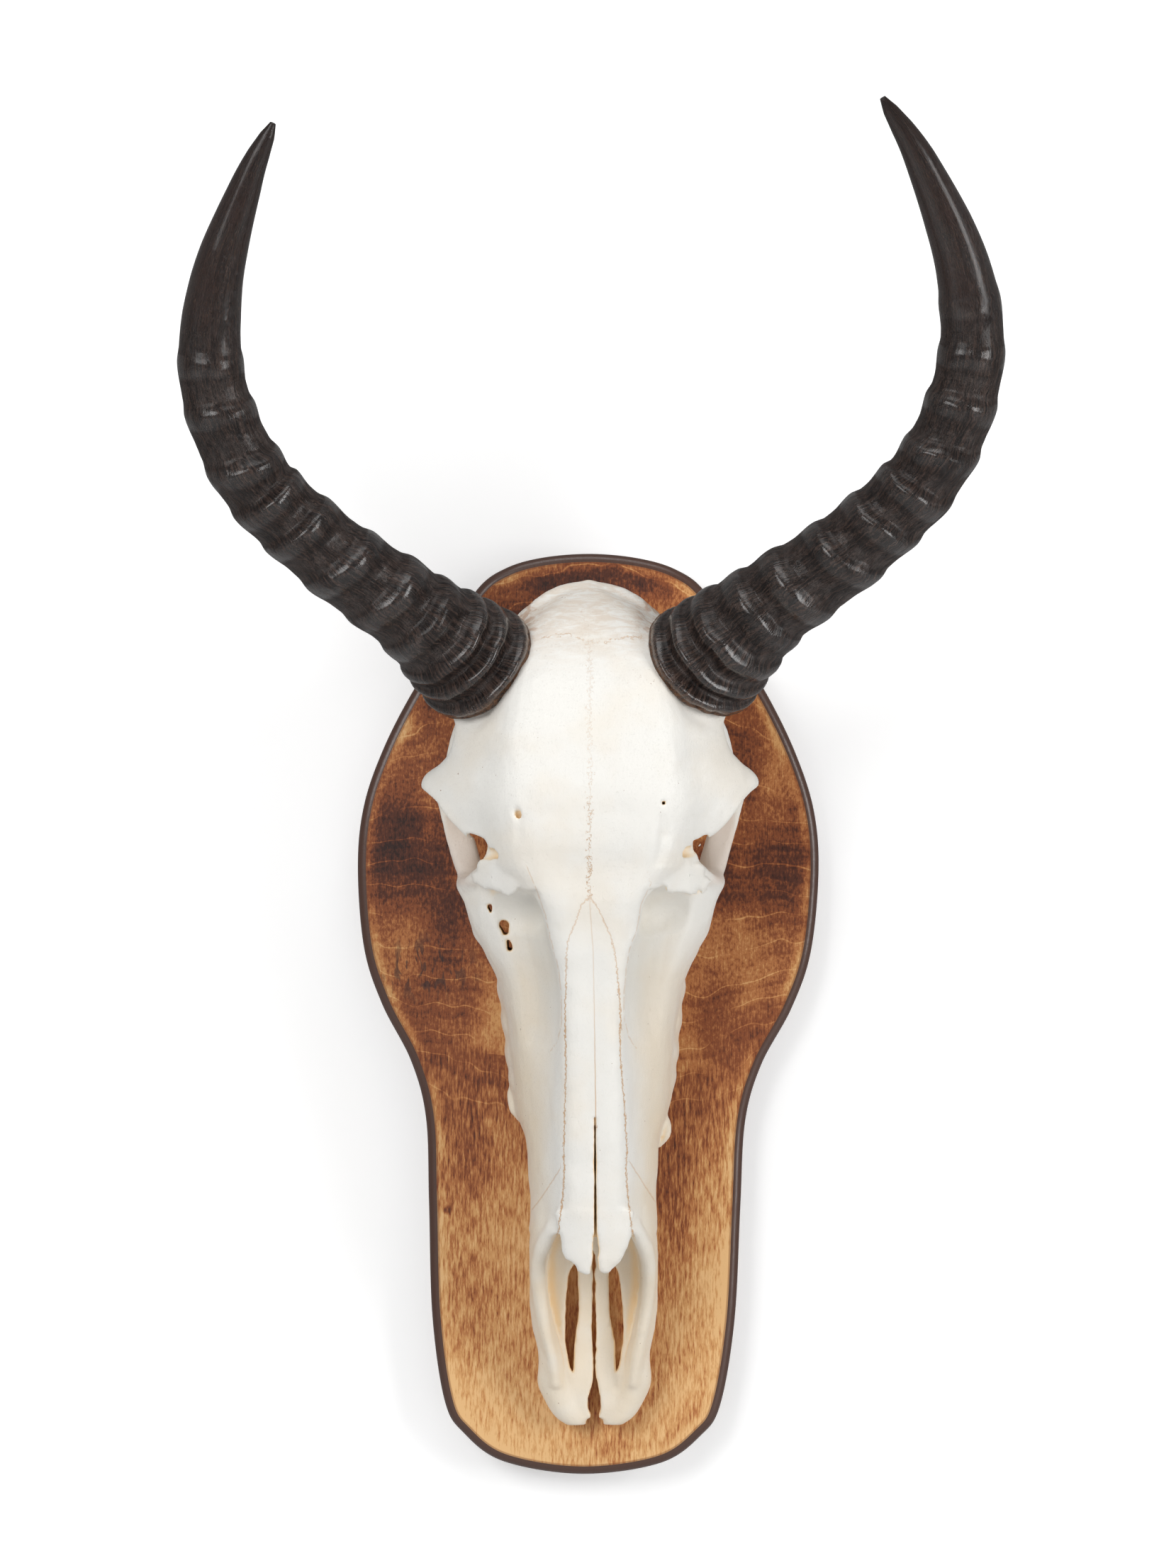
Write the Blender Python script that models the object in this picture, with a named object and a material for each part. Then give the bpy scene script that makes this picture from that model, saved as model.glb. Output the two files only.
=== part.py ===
"""Antelope skull with ringed horns on a keyhole-shaped wooden wall board.

The board's back face lies on Y = 0 against the wall, with the origin at its centre.
+X is the viewer's right, +Z is up and -Y comes out of the wall towards the viewer.
The skull is described in its own frame, in millimetres: across (from the midline),
out (from the board's front face towards the viewer) and up. The nose points down.
"""

import math

import bmesh
import bpy
from mathutils import Matrix, Vector

MM = 0.001
CLEARANCE = 0.4
# A direction that no bar follows, from which the points of a bar's rings are counted
OFF_AXIS = Vector((0.31, 0.87, 0.38))

# Board
BOARD_THICKNESS = 20.0
BOARD_EDGE_ROUND = 4.0
BOARD_EDGE_STEPS = 2
# Half outline of the board, from the middle of its top to the middle of its foot: (half width, up)
BOARD_OUTLINE = [
    (0, 210.7), (22, 208.8), (39, 203.8), (52, 194.2), (66, 171), (81.8, 146), (94.7, 120),
    (103.3, 94), (105.8, 66), (102.6, 29), (94, 3), (80.4, -23), (73.3, -49), (71.5, -88),
    (69.4, -140), (63.3, -179), (54.4, -193.6), (36, -206.4), (0, -211.8),
]
BOARD_POINTS_PER_SPAN = 2
HANGING_HOLE_RADIUS = 4.5
HANGING_HOLE_DEPTH = 11.0
HANGING_HOLE_UP = 170.0
SCREW_HOLE_FLARE = 0.6
# How far a cutter reaches past the face that it opens
CUTTER_PAST = 1.0

# Skull on the board: it is screwed on a little askew
SKULL_LEAN_DEG = 1.03
SKULL_SHIFT = 2.25

# Cross-sections of the face and braincase, nose to nape. Each row is one station: up, then the
# half width and height of the roof's shoulder, waist, cheek, side wall and floor's edge.
# The middle of the roof stands ROOF_CROWN above its shoulder.
ROOF_CROWN = 1.5
STATIONS = [
    (-97, (11.3, 66), (19, 56), (25.5, 42), (28.3, 27), (23, 12)),
    (-84, (11.7, 69.5), (19.5, 58), (26, 43), (28.5, 28), (24, 11)),
    (-70, (12, 73), (19.5, 61), (27, 45), (29.2, 29), (25, 11)),
    (-55, (12, 77), (20, 63), (28, 46), (30.5, 28), (28, 11)),
    (-42, (12, 80), (20, 65), (30.5, 44), (34.5, 25), (32, 11)),
    (-20, (12, 85), (19.5, 69), (32.5, 50), (37.5, 24), (35, 11)),
    (0, (12, 90), (18.5, 73), (34, 56), (39.5, 27), (36.5, 11)),
    (17, (12.5, 94), (19.5, 77), (37, 61), (42.8, 33), (36.5, 11)),
    (30, (14.5, 98), (21.5, 80), (42, 66), (48.6, 40), (36.5, 12)),
    (41, (17, 101), (25, 83), (45.5, 69), (53, 46), (35, 14)),
    (52, (21, 105), (30, 87), (48.5, 71), (56.4, 49), (32, 18)),
    (62, (27, 107), (40, 87), (52, 70), (58.6, 48), (27, 24)),
    (70, (31, 109), (44, 93), (46, 76), (46, 56), (23, 28)),
    (85, (33, 112), (46, 95), (44, 78), (40, 60), (20, 31)),
    (105, (34, 113), (46, 96), (44, 80), (38, 62), (20, 31)),
    (125, (34, 111), (42, 88), (41, 74), (38, 62), (20, 29)),
    (145, (32, 107), (42, 82), (42, 70), (40, 58), (21, 27)),
    (160, (28, 98), (38, 78), (40, 66), (40, 55), (22, 25)),
    (171, (24, 88), (33, 72), (37, 62), (38, 52), (22, 24)),
    (181, (18, 77), (26, 65), (30.5, 56), (32, 48), (20, 24)),
    (188, (11, 66), (17.5, 58), (21.5, 51), (23, 45), (16, 22)),
    (194, (4, 55), (6.5, 51), (8.5, 46), (9, 42), (7, 28)),
]
SECTION_POINTS = 28

# The brow: a shelf from one eye socket's rim to the other, in the same four columns
BROW = [
    (66, (24, 104), (40, 93), (47, 86), (36, 80)),
    (76, (28, 109), (42, 96), (47, 88), (36, 80)),
    (84, (30, 112), (46, 98), (56, 87), (42, 78)),
    (92, (32, 113), (52, 97), (67, 82), (52, 74)),
    (98, (32, 114), (56, 95), (70.5, 78), (56, 70)),
    (105, (32, 114), (58, 93), (74.5, 74), (60, 66)),
    (111, (32, 113), (56, 93), (70.5, 76), (58, 68)),
    (119, (32, 112), (52, 95), (63.2, 80), (52, 70)),
    (130, (32, 110), (50, 96), (59.8, 84), (48, 72)),
    (142, (30, 106), (45, 92), (57, 80), (44, 72)),
    (158, (26, 98), (38, 86), (46, 76), (36, 68)),
]

# Rim of the left eye socket, as seen from the right-hand side of the skull: (across, out, up)
EYE_RIM = [
    (70.5, 72, 104), (65, 81, 95.5), (55, 87, 86), (45.5, 90, 80), (44, 88, 72), (50, 78, 65),
    (55, 65, 61.5), (56, 52, 62), (58, 44, 71), (62, 41, 84), (66, 46, 97), (69.5, 58, 103.5),
]
EYE_RIM_RADIUS = 3.2
EYE_SOCKET_CENTRE = (66, 65, 84)
EYE_SOCKET_RADII = (38, 22, 20.5)

# Cheek arch, from below the eye back to the braincase: (across, out, up), with a half thickness
CHEEK_ARCH = [
    (46.5, 46, 40), (52.5, 43, 60), (57.5, 41, 78), (61.5, 42, 96), (60.5, 45, 114), (55, 49, 132),
    (44, 51, 148), (33, 51, 158),
]
CHEEK_ARCH_RADII = [6, 6, 5.6, 5.2, 4.8, 5.5, 6.5, 7]
BEHIND_EYE_BAR = [(68.5, 72, 106), (68, 58, 106), (63.5, 44, 105)]
BEHIND_EYE_BAR_RADII = [5, 4.5, 5]

# Snout: two side walls and a floor, joined at the tip.
# Walls as (up, middle of the wall across, half width, lowest, highest)
SNOUT_WALL = [
    (-84, 20.5, 6, 12, 50), (-99, 23, 5.6, 12, 48), (-109, 24.8, 4.4, 12, 41),
    (-120, 25, 4, 12, 35), (-132, 24.5, 4.5, 11, 30), (-144, 22.5, 5.2, 10, 26), (-156, 20, 5.3, 8, 22),
    (-168, 19.4, 6.4, 6, 18), (-177, 16.2, 6.6, 5, 15), (-184, 11.5, 6.4, 5, 13), (-188, 8, 4.4, 5.5, 11),
]
SNOUT_FLOOR = [
    (-78, 24, 11, 24), (-96, 24, 11.5, 21), (-115, 22, 12, 19), (-135, 20, 10, 16), (-152, 17, 8, 14),
    (-168, 19, 5, 14), (-178, 16, 4.5, 13), (-185, 9, 5, 11),
]

# Nose bones: their common roof as (up, half width, lowest, highest), and the two tips
NOSE_ROOF = [(-78, 15, 60, 73), (-92, 15, 58, 70), (-101, 14.6, 56.5, 67.5), (-108, 13, 57, 65.5)]
NOSE_TIP = [(7, 61.5, -98), (7, 61, -106), (6.8, 60, -113), (6.6, 59, -117)]
NOSE_TIP_RADII = [5, 5, 3.8, 2]

# Pit in the side of the face, in front of the eye
FACE_PIT_CENTRE = (38, 92, 42)
FACE_PIT_RADII = (17, 14, 15)

# Base and nape of the skull
CONDYLE_CENTRE = (12, 20, 185)
CONDYLE_RADII = (9.5, 11, 8)
NAPE_CREST = [(29.5, 54, 176), (22, 55, 185.5), (12, 52, 191.5), (0, 51, 193.5)]
NAPE_CREST_RADII = [3, 3, 3, 3]
EAR_SPUR = [(28, 42, 168), (29, 26, 168), (27, 12, 166), (25, 3.5, 165)]
EAR_SPUR_RADII = [7, 6, 4, 2.2]
EAR_BULB_CENTRE = (21, 24, 152)
EAR_BULB_RADII = (8, 12, 11)
WING_PLATE = [(13, 32, 46), (12, 24, 62), (13, 20, 78), (14, 26, 94)]
WING_PLATE_RADII = [4, 3.6, 3.4, 4]
SPINAL_HOLE_CENTRE = (0, 36, 190)
SPINAL_HOLE_RADII = (9.5, 8.5, 30)

# Hollow of the nose, as (up, half width, lowest, highest)
NOSE_HOLLOW = [
    (-178, 2, 12, 30), (-168, 10, 14.5, 40), (-150, 14, 17, 50), (-131, 19, 20, 54), (-115, 20, 22, 54),
    (-104, 18, 24, 54), (-85, 15.5, 26, 55), (-55, 15, 28, 60), (-20, 15, 30, 66),
]
# Slots through the roof of the mouth: (across, up) of the ends, half width
PALATE_SLOT = [(9.2, -115), (9.9, -130), (10.4, -146), (10.2, -162)]
PALATE_SLOT_RADII = [2.2, 3.2, 3.4, 2.4]
TIP_NOTCH = [(0, -166), (0, -178), (0, -194)]
TIP_NOTCH_RADII = [1.6, 3.4, 2.4]

# Voxel and finish of the grown form
BONE_VOXEL = 2.1
BONE_SMOOTHING = 3
BONE_FACE_SHARE = 0.039

# Horns: centre lines from the seat to the tip, (across, up), and how far they stand out
HORN_PATH_LEFT = [
    (-50.1, 159.4), (-80.6, 183.8), (-117.9, 211.2), (-148.2, 242), (-164.1, 282),
    (-162.1, 324.2), (-147.9, 367.2), (-135.6, 393.2),
]
HORN_PATH_RIGHT = [
    (51.1, 159.5), (80, 183.5), (118.6, 210.6), (151.7, 244), (168, 286.7),
    (165.2, 328.8), (146.8, 374.6), (129.4, 402.3),
]
HORN_OUT_AT_SEAT = 80.0
# Added to that in proportion to the share of the length, its square and its cube
HORN_OUT_CURVE = [139.0, -104.0, 53.0]
HORN_RADII = [
    (0.0, 27.2), (0.05, 25.0), (0.1, 21.6), (0.13, 20.3), (0.2, 19.0), (0.35, 17.4), (0.5, 15.9),
    (0.65, 14.0), (0.7, 13.2), (0.8, 10.6), (0.9, 7.2), (0.95, 5.2), (0.98, 3.6), (1.0, 1.6),
]
# Ring crests, as shares of the horn's length from the seat
RINGS_LEFT = [0.012, 0.043, 0.073, 0.116, 0.18, 0.254, 0.336, 0.402, 0.465, 0.557]
RINGS_RIGHT = [0.028, 0.063, 0.113, 0.172, 0.251, 0.325, 0.392, 0.457, 0.534, 0.607]
RING_HEIGHT = 1.5
RING_VALLEY = 0.6
# Height of the last rings as a share of the first, and where along the horn they fade to it
RING_LEAST = 0.45
RINGS_FADE_FROM = 0.62
LAST_RING_REACH = 0.08
SMOOTH_TIP_RADIUS = 1.4
HORN_SIDES = 16
HORN_STATIONS = 40
# Direction square to the seat (across, out, up), and the share of the horn that turns from it
SEAT_AXIS = (0.567, 0.616, 0.544)
SEAT_BLEND = 0.14
# The seat cutter covers this many of the horn's first rings
SEAT_CUTTER_RINGS = 14
CORE_RADIUS = 15.0
CORE_TOP_SHARE = 0.86
CORE_LENGTH = 9.0
# The bony stump below and inside the seat, as (distance along the seat's axis, radius)
HORN_STUMP = [(-34, 17), (-16, 23), (-2, 25.6), (4, 20), (10, 17)]

# Cheek teeth: lengths along the row from the front, and the row's curve
TOOTH_LENGTHS = [9.5, 10.5, 11.5, 14.5, 16.5, 16.5]
TOOTH_GAP = 0.7
TOOTH_ROW_START = -47.0
TOOTH_ROW_ACROSS = [(-47, 25.5), (-20, 29.5), (0, 31), (20, 30.5), (36, 28.5)]
TOOTH_HALF_WIDTHS = [4.6, 5.2, 5.8, 6.6, 6.8, 6.4]
TOOTH_ROOT = 15.0
TOOTH_NECK = 10.0
TOOTH_WIDEST = 3.0
TOOTH_FACE = 0.5
TOOTH_SQUARENESS = 0.65
TOOTH_LOBE = 0.10
TOOTH_SIDES = 12
SOCKET_CLEARANCE = 0.32

# Screws from the back of the board: how high each one is, and its length
SCREWS = {"screw_upper": (150.0, 45.0), "screw_lower": (-20.0, 40.0)}
SCREW_RADIUS = 2.2
SCREW_HEAD_RADIUS = 4.4
SCREW_HEAD_DEPTH = 3.0
SCREW_SUNK = 0.6
SCREW_POINT_LENGTH = 4.0
SCREW_POINT_RADIUS = 0.5
SCREW_SIDES = 20
SLOT_WIDTH = 1.1
SLOT_DEPTH = 1.0

BONE_COLOUR = (0.84, 0.79, 0.69, 1.0)
HORN_COLOUR = (0.035, 0.024, 0.020, 1.0)
WOOD_COLOUR = (0.40, 0.19, 0.075, 1.0)
TOOTH_COLOUR = (0.80, 0.74, 0.60, 1.0)
STEEL_COLOUR = (0.55, 0.54, 0.52, 1.0)


def clear_scene():
    for obj in list(bpy.data.objects):
        bpy.data.objects.remove(obj, do_unlink=True)


def material(name, colour, roughness, metallic=0.0):
    mat = bpy.data.materials.new(name)
    mat.use_nodes = True
    shader = mat.node_tree.nodes["Principled BSDF"]
    shader.inputs["Base Color"].default_value = colour
    shader.inputs["Roughness"].default_value = roughness
    shader.inputs["Metallic"].default_value = metallic
    return mat


def smooth_through(points, steps):
    """A Catmull-Rom line through the points, with the given number of steps in each span."""
    pts = [Vector(p) for p in points]
    ends = [2 * pts[0] - pts[1]] + pts + [2 * pts[-1] - pts[-2]]
    line = []
    for i in range(len(pts) - 1):
        for k in range(steps):
            line.append(between(ends[i:i + 4], k / steps))
    line.append(pts[-1].copy())
    return line


def between(four, t):
    """A point of the Catmull-Rom span between the second and third of four points."""
    p0, p1, p2, p3 = four
    bend = (2 * p0 - 5 * p1 + 4 * p2 - p3) * t * t + (3 * p1 - p0 - 3 * p2 + p3) * t ** 3
    return 0.5 * (2 * p1 + (p2 - p0) * t + bend)


def value_at(table, x):
    """The value at x on straight lines between (x, value) pairs."""
    for (x0, y0), (x1, y1) in zip(table, table[1:]):
        if x <= x1:
            t = max(0.0, (x - x0) / (x1 - x0))
            return y0 + (y1 - y0) * t
    return table[-1][1]


def place(across, out, up):
    """A point of the skull's frame, in metres, with the board's front face at Y = 0 there."""
    return Vector((across, -out, up)) * MM


def add_rings(bm, rings):
    """Skin a row of equal rings and close both ends."""
    rows = [[bm.verts.new(p) for p in ring] for ring in rings]
    count = len(rows[0])
    for row, following in zip(rows, rows[1:]):
        for k in range(count):
            n = (k + 1) % count
            bm.faces.new((row[k], row[n], following[n], following[k]))
    bm.faces.new(list(reversed(rows[0])))
    bm.faces.new(rows[-1])


def finish_mesh(bm, name, mat, parent, smooth_angle=35):
    bmesh.ops.recalc_face_normals(bm, faces=bm.faces[:])
    mesh = bpy.data.meshes.new(name)
    bm.to_mesh(mesh)
    bm.free()
    mesh.materials.append(mat)
    mesh.shade_smooth()
    mesh.set_sharp_from_angle(angle=math.radians(smooth_angle))
    obj = bpy.data.objects.new(name, mesh)
    bpy.context.scene.collection.objects.link(obj)
    obj.parent = parent
    return obj


def make_cutter(obj):
    obj.hide_render = True
    obj.display_type = "WIRE"
    return obj


def cut(obj, cutter):
    mod = obj.modifiers.new("cut " + cutter.name, "BOOLEAN")
    mod.operation = "DIFFERENCE"
    mod.solver = "EXACT"
    mod.object = cutter


def add_section_loft(bm, stations, steps, crown=ROOF_CROWN):
    """The grown form between cross-sections given as in STATIONS."""
    anchors = []
    for up, *columns in stations:
        half = [(0, columns[0][1] + crown), *columns, (0, columns[-1][1])]
        anchors.append([Vector((a, o, up)) for a, o in half])
    columns = [smooth_through(column, steps) for column in zip(*anchors)]
    rings = []
    for half in zip(*columns):
        mirrored = [Vector((-p.x, p.y, p.z)) for p in half[1:-1]]
        loop = list(half) + mirrored[::-1]
        rings.append([place(*p) for p in smooth_loop(loop, SECTION_POINTS)])
    add_rings(bm, rings)


def smooth_loop(points, count):
    """An even number of points around a closed Catmull-Rom loop."""
    n = len(points)
    loop = []
    for k in range(count):
        s = k * n / count
        i = int(s)
        loop.append(between([points[(i + j) % n] for j in (-1, 0, 1, 2)], s - i))
    return loop


def add_tube(bm, points, radii, mirror=True, sides=12, steps=3, closed=False):
    """A round bar along points of the skull's frame, and its mirror image."""
    table = [(i, r) for i, r in enumerate(radii)]
    path = list(points) + [points[0]] if closed else list(points)
    line = smooth_through(path, steps)
    for side in ((1, -1) if mirror else (1,)):
        rings = []
        for i, p in enumerate(line):
            before = line[max(i - 1, 0)]
            after = line[min(i + 1, len(line) - 1)]
            if closed and i in (0, len(line) - 1):
                before, after = line[-2], line[1]
            axis = (after - before).normalized()
            radius = value_at(table, i / steps) if len(table) > 1 else radii[0]
            rings.append(circle(p, axis, radius, sides, side))
        if closed:
            add_closed_rings(bm, rings[:-1])
        else:
            add_rings(bm, rings)


def circle(centre, axis, radius, sides, side=1):
    first = (OFF_AXIS - axis * OFF_AXIS.dot(axis)).normalized()
    second = axis.cross(first)
    ring = []
    for k in range(sides):
        a = 2 * math.pi * k / sides
        p = centre + radius * (math.cos(a) * first + math.sin(a) * second)
        ring.append(place(side * p.x, p.y, p.z))
    return ring


def add_closed_rings(bm, rings):
    rows = [[bm.verts.new(p) for p in ring] for ring in rings]
    count = len(rows[0])
    for i, row in enumerate(rows):
        following = rows[(i + 1) % len(rows)]
        for k in range(count):
            n = (k + 1) % count
            bm.faces.new((row[k], row[n], following[n], following[k]))


def add_ball(bm, centre, radii, mirror=True, segments=20, rows=12):
    for side in ((1, -1) if mirror else (1,)):
        middle = place(side * centre[0], centre[1], centre[2])
        shape = Matrix.Translation(middle) @ Matrix.Diagonal((*(r * MM for r in radii), 1))
        bmesh.ops.create_uvsphere(bm, u_segments=segments, v_segments=rows, radius=1.0, matrix=shape)


def add_box_loft(bm, rows, middles=None, sides=16):
    """An upright hollow or bar from (up, half width, lowest, highest) rows, round in section."""
    middles = middles or [0.0] * len(rows)
    across = smooth_through([Vector((m, row[0], 0)) for m, row in zip(middles, rows)], 2)
    rings = []
    for middle, row in zip(across, smooth_through([Vector(r) for r in rows], 2)):
        up, half, low, high = row
        ring = []
        for k in range(sides):
            a = 2 * math.pi * k / sides
            out = (low + high) / 2 + (high - low) / 2 * math.sin(a)
            ring.append(place(middle.x + half * math.cos(a), out, up))
        rings.append(ring)
    add_rings(bm, rings)


def add_slot(bm, points, radii, low, high, mirror=True):
    """A slot through the thickness along (across, up) points, pointed at both ends."""
    line = smooth_through([Vector((a, u, 0)) for a, u in points], 4)
    table = [(i, r) for i, r in enumerate(radii)]
    for side in ((1, -1) if mirror else (1,)):
        outer = []
        inner = []
        for i, p in enumerate(line):
            r = value_at(table, i / 4)
            outer.append((side * (p.x + r), p.y))
            inner.append((side * (p.x - r), p.y))
        outline = outer + inner[::-1]
        add_rings(bm, [[place(a, out, u) for a, u in outline] for out in (low, high)])


def horn_frames(path, side):
    """Centre, axis and two cross directions at even steps from the seat to the tip."""
    raw = smooth_through([Vector((a, u, 0)) for a, u in path], 24)
    travelled = [0.0]
    for p, q in zip(raw, raw[1:]):
        travelled.append(travelled[-1] + (q - p).length)
    centres = []
    for k in range(HORN_STATIONS + 1):
        share = k / HORN_STATIONS
        target = share * travelled[-1]
        i = max(j for j, s in enumerate(travelled) if s <= target + 1e-9)
        i = min(i, len(raw) - 2)
        t = (target - travelled[i]) / (travelled[i + 1] - travelled[i])
        flat = raw[i].lerp(raw[i + 1], t)
        out = HORN_OUT_AT_SEAT + sum(c * share ** (n + 1) for n, c in enumerate(HORN_OUT_CURVE))
        centres.append(Vector((flat.x, out, flat.y)))
    seat_axis = Vector((side * SEAT_AXIS[0], SEAT_AXIS[1], SEAT_AXIS[2])).normalized()
    frames = []
    for k, centre in enumerate(centres):
        share = k / HORN_STATIONS
        tangent = (centres[min(k + 1, HORN_STATIONS)] - centres[max(k - 1, 0)]).normalized()
        t = min(share / SEAT_BLEND, 1.0)
        weight = t * t * (3 - 2 * t)
        axis = seat_axis.lerp(tangent, weight).normalized()
        first = (Vector((0, 1, 0)) - axis * axis.y).normalized()
        frames.append((share, centre, axis, first, axis.cross(first)))
    return frames


def ring_swell(share, crests):
    """How far the surface stands out at this share of the length, because of the rings."""
    swell = 0.0
    for i, crest in enumerate(crests):
        before = crests[i - 1] if i else 0.0
        after = crests[i + 1] if i + 1 < len(crests) else crest + LAST_RING_REACH
        reach = (crest - before if share < crest else after - crest) / 2
        x = (share - crest) / max(reach, 0.01)
        if abs(x) < 1:
            swell = max(swell, math.cos(x * math.pi / 2) ** 2)
    strength = min(1.0, max(0.0, RINGS_FADE_FROM - share) * 4)
    return swell * RING_HEIGHT * (RING_LEAST + (1 - RING_LEAST) * strength)


def horn_rings(path, side, crests, grow):
    """Outer rings of a horn and the hollow of its seat, grown by a clearance for the cutter."""
    frames = horn_frames(path, side)
    rings = []

    def ring_at(frame, radius, slide=0.0):
        _, centre, axis, first, second = frame
        middle = centre + axis * slide
        points = []
        for k in range(HORN_SIDES):
            a = 2 * math.pi * k / HORN_SIDES
            p = middle + radius * (math.cos(a) * first + math.sin(a) * second)
            points.append(place(*p))
        return points

    core = CORE_RADIUS - grow
    rings.append(ring_at(frames[0], core * CORE_TOP_SHARE, CORE_LENGTH - grow))
    rings.append(ring_at(frames[0], core, -grow))
    last = SEAT_CUTTER_RINGS if grow else len(frames)
    for frame in frames[:last]:
        share = frame[0]
        radius = value_at(HORN_RADII, share) + ring_swell(share, crests) - RING_VALLEY * min(1, share * 20)
        radius = max(radius, SMOOTH_TIP_RADIUS)
        rings.append(ring_at(frame, radius + grow, -grow if share == 0 else 0.0))
    return rings


def build_board(parent, wood):
    right = [Vector((a, u, 0)) for a, u in BOARD_OUTLINE]
    left = [Vector((-p.x, p.y, 0)) for p in right[1:-1]]
    corners = right + left[::-1]
    loop = [(p.x, p.y) for p in smooth_loop(corners, len(corners) * BOARD_POINTS_PER_SPAN)]
    bm = bmesh.new()
    back = [bm.verts.new(Vector((a, 0, u)) * MM) for a, u in loop]
    front = [bm.verts.new(Vector((a, -BOARD_THICKNESS, u)) * MM) for a, u in loop]
    bm.faces.new(back)
    front_face = bm.faces.new(front[::-1])
    count = len(loop)
    for k in range(count):
        n = (k + 1) % count
        bm.faces.new((back[k], front[k], front[n], back[n]))
    bmesh.ops.recalc_face_normals(bm, faces=bm.faces[:])
    rim = list(front_face.edges)
    bmesh.ops.bevel(bm, geom=rim, offset=BOARD_EDGE_ROUND * MM, segments=BOARD_EDGE_STEPS,
                    profile=0.5, affect="EDGES", clamp_overlap=True)
    board = finish_mesh(bm, "plaque", wood, parent, 30)
    holes = bmesh.new()
    add_turned(holes, 0, HANGING_HOLE_UP, [
        (HANGING_HOLE_RADIUS, -CUTTER_PAST),
        (HANGING_HOLE_RADIUS, HANGING_HOLE_DEPTH),
    ])
    for up, _ in SCREWS.values():
        add_turned(holes, SKULL_SHIFT, up, [
            (SCREW_HEAD_RADIUS + CLEARANCE + SCREW_HOLE_FLARE, -CUTTER_PAST),
            (SCREW_HEAD_RADIUS + CLEARANCE, SCREW_SUNK),
            (SCREW_RADIUS + CLEARANCE, SCREW_SUNK + SCREW_HEAD_DEPTH),
            (SCREW_RADIUS + CLEARANCE, BOARD_THICKNESS + CUTTER_PAST),
        ])
    cutter = make_cutter(finish_mesh(holes, "plaque_holes", wood, parent))
    cut(board, cutter)
    return board


def add_turned(bm, across, up, profile, sides=SCREW_SIDES):
    """A turned form about a line square to the board: (radius, depth from the back) pairs."""
    rings = []
    for radius, depth in profile:
        ring = []
        for k in range(sides):
            a = 2 * math.pi * k / sides
            ring.append(Vector((across + radius * math.cos(a), -depth, up + radius * math.sin(a))) * MM)
        rings.append(ring)
    add_rings(bm, rings)


def build_screw(name, parent, steel, up, length):
    bm = bmesh.new()
    add_turned(bm, SKULL_SHIFT, up, [
        (SCREW_HEAD_RADIUS, SCREW_SUNK),
        (SCREW_RADIUS, SCREW_SUNK + SCREW_HEAD_DEPTH),
        (SCREW_RADIUS, SCREW_SUNK + length - SCREW_POINT_LENGTH),
        (SCREW_POINT_RADIUS, SCREW_SUNK + length),
    ])
    screw = finish_mesh(bm, name, steel, parent)
    slot = bmesh.new()
    size = (SCREW_HEAD_RADIUS * 3, SLOT_DEPTH * 2, SLOT_WIDTH)
    where = Matrix.Translation(Vector((SKULL_SHIFT, -SCREW_SUNK, up)) * MM)
    bmesh.ops.create_cube(slot, size=1.0, matrix=where @ Matrix.Diagonal((*(s * MM for s in size), 1)))
    cut(screw, make_cutter(finish_mesh(slot, name + "_slot", steel, parent)))
    return screw


def build_bone(parent, bone):
    """The skull's forms, before the horns, teeth and screws are let into it."""
    bm = bmesh.new()
    add_section_loft(bm, STATIONS, 2)
    add_section_loft(bm, BROW, 2)
    add_tube(bm, EYE_RIM, [EYE_RIM_RADIUS], closed=True)
    add_tube(bm, CHEEK_ARCH, CHEEK_ARCH_RADII)
    add_tube(bm, BEHIND_EYE_BAR, BEHIND_EYE_BAR_RADII)
    for side in (1, -1):
        add_box_loft(bm, [(up, half, low, high) for up, _, half, low, high in SNOUT_WALL],
                     [side * row[1] for row in SNOUT_WALL])
    add_box_loft(bm, SNOUT_FLOOR)
    add_box_loft(bm, NOSE_ROOF)
    add_tube(bm, NOSE_TIP, NOSE_TIP_RADII)
    add_ball(bm, CONDYLE_CENTRE, CONDYLE_RADII)
    add_tube(bm, NAPE_CREST, NAPE_CREST_RADII)
    add_tube(bm, EAR_SPUR, EAR_SPUR_RADII)
    add_ball(bm, EAR_BULB_CENTRE, EAR_BULB_RADII)
    add_tube(bm, WING_PLATE, WING_PLATE_RADII)
    for path, side in ((HORN_PATH_LEFT, -1), (HORN_PATH_RIGHT, 1)):
        frames = horn_frames(path, side)
        seat = frames[0]
        stump = []
        for slide, radius in HORN_STUMP:
            stump.append(circle(seat[1] + seat[2] * slide, seat[2], radius, 24))
        add_rings(bm, stump)
    skull = finish_mesh(bm, "skull", bone, parent, 50)
    fuse = skull.modifiers.new("grow together", "REMESH")
    fuse.mode = "VOXEL"
    fuse.voxel_size = BONE_VOXEL * MM
    return skull


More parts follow.
